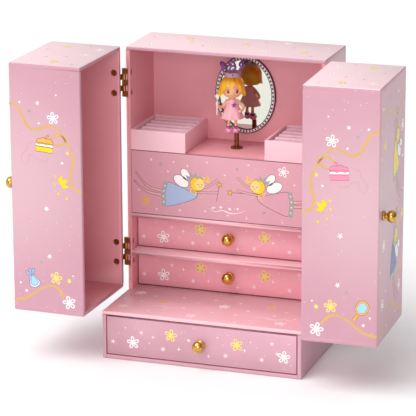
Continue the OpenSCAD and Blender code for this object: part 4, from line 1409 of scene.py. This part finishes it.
def drawer_print(name, body, node):
    """Stars and flowers that every drawer front shares."""
    low, high = span_of(node)
    middle_z = (low[2] + high[2]) / 2
    art = Print((0, low[1], middle_z), (1, 0, 0), (0, 0, 1))
    for x, z, r in (
        (-89, -6, 2.1), (-60, 5.6, 1.9), (-38, -8.5, 2.2), (-12, 3, 1.8), (25, -8.4, 2.2), (61, -8.4, 2.2),
        (71, 8.6, 2.0), (17, 9, 1.1), (-76, 9, 0.9), (50, 8, 0.9), (-52, -4, 0.8), (88, 10, 0.8),
    ):
        art.star((x, z), r * 1.3, "pearl", x)
    for x, z in ((-48, 2.5), (8, -10.5), (44, -1), (-22, -7), (76, -1)):
        art.spark((x, z), 2.4)
    for x, z, key, tilt in (
        (-68.5, -5.2, "white", 8), (-30, 6, "straw", -10), (36, 3.6, "straw", 14),
        (82.8, -3.5, "white", -6),
    ):
        art.flower((x, z), 6.4, key, tilt)
    for x, z in ((-83, 3), (-57, -10), (-19, 10), (22, 2), (56, 3), (90, -11), (-6, -9)):
        art.dot((x, z), 0.4)
    # Painted shadow line round the front, standing in for the shade in the gap round the drawer
    art.edge(low[[0, 2]] - (0, middle_z), high[[0, 2]] - (0, middle_z))
    art.finish(name, body, "drawer_front_board")


class JEWELBOX_OT_cabinet_prints(bpy.types.Operator):
    """Decoration on the fascia, drawers, deck and top"""

    bl_idname = "jewel_box.cabinet_prints"
    bl_label = "Cabinet Prints"

    def execute(self, context):
        for name in ("upper", "middle", "base"):
            drawer_print(f"{name}_drawer_print", f"{name}_drawer", f"{name}_drawer_front")
        self.fascia()
        self.deck()
        self.top()
        return {"FINISHED"}

    def fascia(self):
        """Two fairies that fly at each other, stars and flowers."""
        low, high = span_of("fascia_panel")
        art = Print((0, low[1], 0), (1, 0, 0), (0, 0, 1))
        art.fairy((-31.4, 149.4), 1.0, 1, 0, "blue")
        art.fairy((36.2, 151.6), 1.0, -1, 4, "blush", star=(31, 1.4))
        # Painted shadow line round the fascia, standing in for the shade in the gaps beside it
        art.edge(low[[0, 2]], high[[0, 2]])
        for x, z, r in ((-65.4, 177.7, 2.6), (12.3, 179, 2.2), (40, 138, 2.4)):
            art.star((x, z), r, "grey", 10)
        for x, z, r in (
            (-75, 181.6, 1.6), (-52, 181, 1.2), (-18, 183, 1.2), (24, 184, 1.3), (84, 170, 1.6),
            (-88, 150, 1.2), (-46, 133, 1.4), (3, 132, 1.2), (86, 134, 1.4), (-10, 139, 1.0),
            (58, 130, 1.0),
        ):
            art.star((x, z), r * 1.2, "pearl", x)
        art.flower((-81, 139.3), 5.4, "gold", 6)
        art.flower((58.9, 180), 5.6, "white", -12)
        art.flower((88, 152), 4.2, "gold", -12)
        for x, z in (
            (-58, 171), (-38, 178), (0, 172), (18, 166), (70, 168), (-20, 134), (-70, 132), (22, 131),
        ):
            art.spark((x, z), 1.8)
        # A row of small stars on a swash under the two wands
        swash = smooth_line([(-16, 137.5), (-10, 134.8), (-2, 136.6), (6, 134.2), (14, 135.4), (20, 138)], 8)
        art.line(swash, along(swash, [0, 0.5, 1], [0.2, 0.8, 0.2]), "white")
        for x, z, r in ((-12, 138.4, 1.5), (-4, 139.6, 1.9), (5, 138.6, 1.9), (13, 139.4, 1.5)):
            art.star((x, z), r, "white", x * 3)
        art.finish("fascia_print", "cabinet", "pink_board")

    def deck(self):
        """Outlined flowers, stars and two swashes."""
        art = Print((0, 0, DECK_Z), (1, 0, 0), (0, 1, 0))
        for x, y, r, key in (
            (-84, -8, 5.4, "white"), (-52, -28, 5.0, "gold"), (-86, -52, 5.0, "white"),
            (8, -24, 5.4, "white"), (-14, -60, 5.2, "white"), (52, -12, 5.2, "gold"),
            (74, -56, 5.6, "white"), (90, -22, 5.0, "white"),
        ):
            art.outline_flower((x, y), r, key, x)
        for x, y, r in (
            (-66, -14, 1.9), (-38, -10, 2.0), (-74, -32, 1.8), (-28, -40, 2.2), (-58, -58, 2.0),
            (-6, -8, 1.7), (26, -44, 2.2), (34, -30, 1.9), (32, -66, 2.0), (62, -36, 2.1), (20, -10, 1.8),
            (84, -40, 1.8), (-92, -30, 1.8),
        ):
            art.star((x, y), r, "white", x + y)
        for x, y in ((-44, -50), (-20, -20), (2, -44), (44, -56), (70, -22), (-70, -64), (48, -66)):
            art.spark((x, y), 2.2)
        for x0, y0 in ((-60, -43), (46, -46)):
            swash = np.array([(0, 0), (8, 3), (18, -1.5), (28, 2.5), (36, 0)]) + (x0, y0)
            swash = smooth_line(swash, 8)
            art.line(swash, along(swash, [0, 0.5, 1], [0.2, 0.9, 0.2]), "white")
        art.finish("deck_print", "cabinet", "pink_board")

    def top(self):
        """Flowers and stars on the top board."""
        art = Print((0, 0, TOP_Z), (1, 0, 0), (0, 1, 0))
        for x, y, key in (
            (-52, 54, "straw"), (8, 44, "straw"), (72, 26, "straw"), (-80, 20, "white"), (34, 22, "white"),
            (44, 60, "white"), (-20, 18, "white"),
        ):
            art.flower((x, y), 5.0, key, x)
        for x, y in ((-46, 40), (-30, 26), (24, 58), (56, 44), (82, 12), (-88, 50)):
            art.star((x, y), 1.8, "grey", x)
        for x, y in ((-66, 34), (-8, 60), (-4, 26), (60, 14), (88, 52), (-62, 10), (18, 32)):
            art.star((x, y), 1.5, "white", y)
        art.finish("top_print", "cabinet", "pale_board")


# Lines on a wing's meeting face: millimetres from the front panel's edge, and up from the bottom
MEETING_RIBBON = [
    (0.4, 203), (7.6, 201.5), (13, 192.5), (17.4, 184), (25, 180), (32.7, 182.3), (40.3, 185), (49, 181.7),
    (56, 173), (62, 162.4), (64.3, 155), (63.2, 146.2), (61, 136.5), (63.4, 128), (72.2, 123),
]
MEETING_LOOP = [
    (56.4, 173), (52, 176.2), (46, 175.6), (41, 172), (42.6, 168.4), (48, 166.4), (53.6, 168.2),
    (57, 172.4), (58.6, 177),
]
LOWER_RIBBON = [(0.4, 10.5), (11.3, 12.5), (20.4, 18), (31.3, 25.5), (40, 28), (46.7, 25.5), (53, 18)]
TRAIL = [
    (23, 168), (18, 165.5), (17.5, 161), (12, 155), (12, 148.4), (15.8, 146.2), (19, 151.6), (19.6, 155.4),
    (25, 155), (29.5, 151), (36, 150.5), (39.3, 154),
]


class JEWELBOX_OT_wing_prints(bpy.types.Operator):
    """Decoration on the wings"""

    bl_idname = "jewel_box.wing_prints"
    bl_label = "Wing Prints"

    def execute(self, context):
        for name, side in SIDES.items():
            self.meeting_face(name, side)
            self.front_face(name, side)
            self.end_face(name, side)
        return {"FINISHED"}

    def sheet(self, side, origin, across, up, outward):
        """A print plane given by closed right-hand wing directions."""
        ends = [opened(side, v) - opened(side, np.zeros(3)) for v in (across, up, outward)]
        return Print(opened(side, origin), *ends)

    def meeting_face(self, name, side):
        """x runs from the front panel's edge to the rim, z up from the bottom."""
        art = self.sheet(side, WING_LOW, (0, 1, 0), (0, 0, 1), (-1, 0, 0))
        art.ribbon(MEETING_RIBBON)
        art.ribbon(MEETING_LOOP, 2.0)
        art.ribbon(LOWER_RIBBON)
        art.dotted(TRAIL)
        art.flower((44.5, 192.5), 6.2, "white", 8)
        art.flower((44.5, 36), 6.4, "straw", -8)
        art.flower((57.6, 12.8), 6.9, "white", 14)
        art.star((20.5, 198), 2.3, "grey", 12)
        art.star((29.5, 50.5), 2.4, "grey", -8)
        for x, z, r in (
            (29, 206, 1.9), (36, 104, 2.4), (38, 57, 2.2), (10.6, 205.6, 1.3), (30, 186.6, 1.2),
            (48, 215, 1.0), (53, 150, 1.3),
        ):
            art.star((x, z), r * 1.25, "white", x)
        for x, z, r, key in (
            (58.6, 160, 1.5, "straw"), (58, 34.5, 1.9, "straw"), (13.3, 20.5, 1.3, "white"),
            (7.2, 28, 1.0, "white"), (62, 40, 0.8, "white"),
        ):
            art.dot((x, z), r, key)
        art.tiara((53.6, 131), 10.5, -58)
        for x, z in ((46, 136.6), (45, 129), (48.4, 120), (57, 116)):
            art.dot((x, z), 1.25, "yellow")
            art.line(disc((x, z), (1.25, 1.25), 14), 0.3, "gold", 1.6, ring=True)
        if side < 0:
            art.cake((35.4, 166.5), 17.5, ("gold", "white", "yellow", "tan"), -4)
            art.pendant((21.2, 31.5), 13, 22)
        else:
            art.cake((37.6, 164), 18, ("pink", "white", "pink", "rose"), -4)
            art.hand_mirror((14.6, 37), 12, 32)
        art.finish(f"{name}_wing_meeting_print", f"{name}_wing", "pink_board")

    def front_face(self, name, side):
        """x runs from the meeting edge to the hinge side, z up from the bottom."""
        art = self.sheet(side, WING_LOW, (1, 0, 0), (0, 0, 1), (0, -1, 0))
        art.ribbon([(0.4, 203), (9, 206), (20, 214), (34, 217), (50, 210), (66, 204), (80, 209), (99, 222)])
        art.ribbon([(0.4, 10.5), (14, 10), (30, 17), (46, 26), (62, 24), (78, 14), (99, 11)])
        art.fairy((60, 178), 0.98, -1, 76, "blush" if side < 0 else "yellow", star=(28, 14))
        art.fairy((58, 84), 0.98, -1, 84, "deep_blue", star=(28, 14))
        for x, z, key in (
            (88, 190, "white"), (20, 186, "straw"), (90, 104, "straw"), (18, 36, "white"),
            (84, 36, "white"), (20, 92, "white"),
        ):
            art.flower((x, z), 6, key, x)
        for x, z, r, key in (
            (12, 222, 2.2, "white"), (40, 228, 2, "grey"), (70, 226, 2.2, "white"), (90, 160, 2.4, "white"),
            (12, 150, 2, "grey"), (8, 70, 2.2, "white"), (90, 72, 2.2, "grey"), (30, 46, 1.8, "white"),
            (70, 14, 1.8, "white"), (46, 116, 2.2, "white"), (92, 128, 1.8, "white"),
        ):
            art.star((x, z), r, key, x)
        for x, z in (
            (28, 203), (60, 192), (92, 210), (14, 118), (70, 118), (60, 46), (36, 10), (90, 28), (8, 176),
        ):
            art.spark((x, z), 2.4)
        art.ribbon([(84, 60), (90, 52), (86, 44), (77, 47), (78, 55), (85, 55), (86, 50)], 1.0, "gold")
        art.finish(f"{name}_wing_front_print", f"{name}_wing", "pink_board")

    def end_face(self, name, side):
        """x runs from the meeting edge to the hinge side, y from the front panel to the rim."""
        origin = (WING_LOW[0], WING_LOW[1], WING_HIGH[2])
        art = self.sheet(side, origin, (1, 0, 0), (0, 1, 0), (0, 0, 1))
        for x, y, key in (
            (16, 40, "straw"), (20, 12, "white"), (52, 56, "white"), (80, 26, "straw"), (78, 60, "white"),
        ):
            art.flower((x, y), 4.8, key, x)
        for x, y in ((34, 24), (10, 60), (64, 12), (90, 46), (40, 42)):
            art.star((x, y), 1.7, "grey", y)
        for x, y in ((30, 62), (58, 34), (8, 24), (92, 14), (46, 10)):
            art.star((x, y), 1.4, "white", x)
        art.finish(f"{name}_wing_top_print", f"{name}_wing", "pale_board")


# ---- Stage ----


class JEWELBOX_OT_stage(bpy.types.Operator):
    """Floor, camera and lights"""

    bl_idname = "jewel_box.stage"
    bl_label = "Stage"

    def execute(self, context):
        values = settings("stage")
        view = context.scene.view_settings
        view.view_transform = "Standard"
        view.exposure = values.exposure
        self.floor()
        self.sky(values.sky)
        self.sun(values.key)
        self.fill(values.fill)
        self.camera(values)
        return {"FINISHED"}

    def floor(self):
        """A wide, matt white table."""
        reach, grain = 6.0, 0.025
        mesh = bpy.data.meshes.new("floor")
        corners = [(-reach, -reach, 0), (reach, -reach, 0), (reach, reach, 0), (-reach, reach, 0)]
        mesh.from_pydata(corners, [], [(0, 1, 2, 3)])
        made, tree, place = start("matt_white_table")
        darker, lighter = (0.3, (0.93, 0.93, 0.93)), (0.7, (0.95, 0.95, 0.95))
        tone = ramp(tree, noise(tree, place, grain, 2.0), darker, lighter)
        close(tree, {"Roughness": 0.7}, {"Base Color": tone})
        mesh.materials.append(made)
        floor = bpy.data.objects.new("floor", mesh)
        bpy.context.scene.collection.objects.link(floor)

    def sky(self, strength):
        """White surroundings: nothing from one side, growing evenly to twice the strength opposite."""
        bright_side = (-0.62, -0.2, 0.76)
        world = bpy.data.worlds.new("studio")
        world.use_nodes = True
        tree = world.node_tree
        ahead = add(tree, "ShaderNodeTexCoord").outputs["Generated"]
        toward = add(tree, "ShaderNodeVectorMath", {"operation": "DOT_PRODUCT", 1: bright_side}, {0: ahead})
        level = remap(tree, toward.outputs["Value"], (-1, 1), (0, strength * 2))
        background = tree.nodes["Background"].inputs
        tree.links.new(level, background["Strength"])
        background["Color"].default_value = (1, 1, 1, 1)
        bpy.context.scene.world = world

    def lamp(self, data, ahead, place=(0, 0, 0)):
        """Hangs a light at a place and turns it to look ahead."""
        lamp = bpy.data.objects.new(data.name, data)
        lamp.location = place
        lamp.rotation_euler = ahead.to_track_quat("-Z", "Y").to_euler()
        bpy.context.scene.collection.objects.link(lamp)

    def sun(self, strength):
        """A broad, soft key light from the upper left, even over the whole table."""
        data = bpy.data.lights.new("key", "SUN")
        data.energy = strength
        data.angle = math.radians(46)
        self.lamp(data, Vector((0.4, 0.52, -1.0)))

    def fill(self, power):
        """A round lamp in front of the box that lifts its shadows."""
        place, aim = Vector((0.35, -2.2, 0.75)), Vector((0, 0, 0.15))
        data = bpy.data.lights.new("fill", "AREA")
        data.shape = "DISK"
        data.size = 1.0
        data.energy = power
        self.lamp(data, aim - place, place)

    def camera(self, values):
        """The camera looks at a fixed aim from an azimuth, an elevation and a distance."""
        a, e = math.radians(values.azimuth), math.radians(values.elevation)
        aim = Vector([c * MM for c in (-27.34, 31.35, 128.69)])
        away = Vector((math.sin(a) * math.cos(e), -math.cos(a) * math.cos(e), math.sin(e)))
        data = bpy.data.cameras.new("camera")
        data.lens = values.lens
        data.sensor_width = 36
        data.clip_end = 50
        camera = bpy.data.objects.new("camera", data)
        look = (-away).to_track_quat("-Z", "Y").to_matrix().to_4x4()
        roll = Matrix.Rotation(math.radians(values.roll), 4, "Z")
        camera.matrix_world = Matrix.Translation(aim + away * values.distance) @ look @ roll
        bpy.context.scene.collection.objects.link(camera)
        bpy.context.scene.camera = camera


class JEWELBOX_PT_panel(bpy.types.Panel):
    """Lists the steps in the sidebar"""

    bl_label = "Jewellery Box"
    bl_idname = "JEWELBOX_PT_panel"
    bl_space_type = "VIEW_3D"
    bl_region_type = "UI"
    bl_category = "Jewellery Box"

    def draw(self, context):
        for step in STEPS:
            self.layout.operator(step.bl_idname)
        for group in GROUPS:
            box = self.layout.box()
            values = settings(group)
            for key in values.__annotations__:
                box.prop(values, key)


STEPS = (
    JEWELBOX_OT_stage,
    JEWELBOX_OT_brassware,
    JEWELBOX_OT_cabinet,
    JEWELBOX_OT_wings,
    JEWELBOX_OT_drawers,
    JEWELBOX_OT_mirror,
    JEWELBOX_OT_ring_rolls,
    JEWELBOX_OT_doll,
    JEWELBOX_OT_cabinet_prints,
    JEWELBOX_OT_wing_prints,
)
CLASSES = (*GROUPS.values(), *STEPS, JEWELBOX_PT_panel)


def register():
    """Adds the classes and their settings to Blender."""
    for kind in CLASSES:
        bpy.utils.register_class(kind)
    for group, kind in GROUPS.items():
        setattr(bpy.types.Scene, "jewel_box_" + group, PointerProperty(type=kind))


def unregister():
    """Takes the settings and the classes out again."""
    for group in GROUPS:
        delattr(bpy.types.Scene, "jewel_box_" + group)
    for kind in reversed(CLASSES):
        bpy.utils.unregister_class(kind)


def main():
    """Runs every step."""
    register()
    for step in STEPS:
        group, name = step.bl_idname.split(".")
        getattr(getattr(bpy.ops, group), name)()


if __name__ == "__main__":
    main()
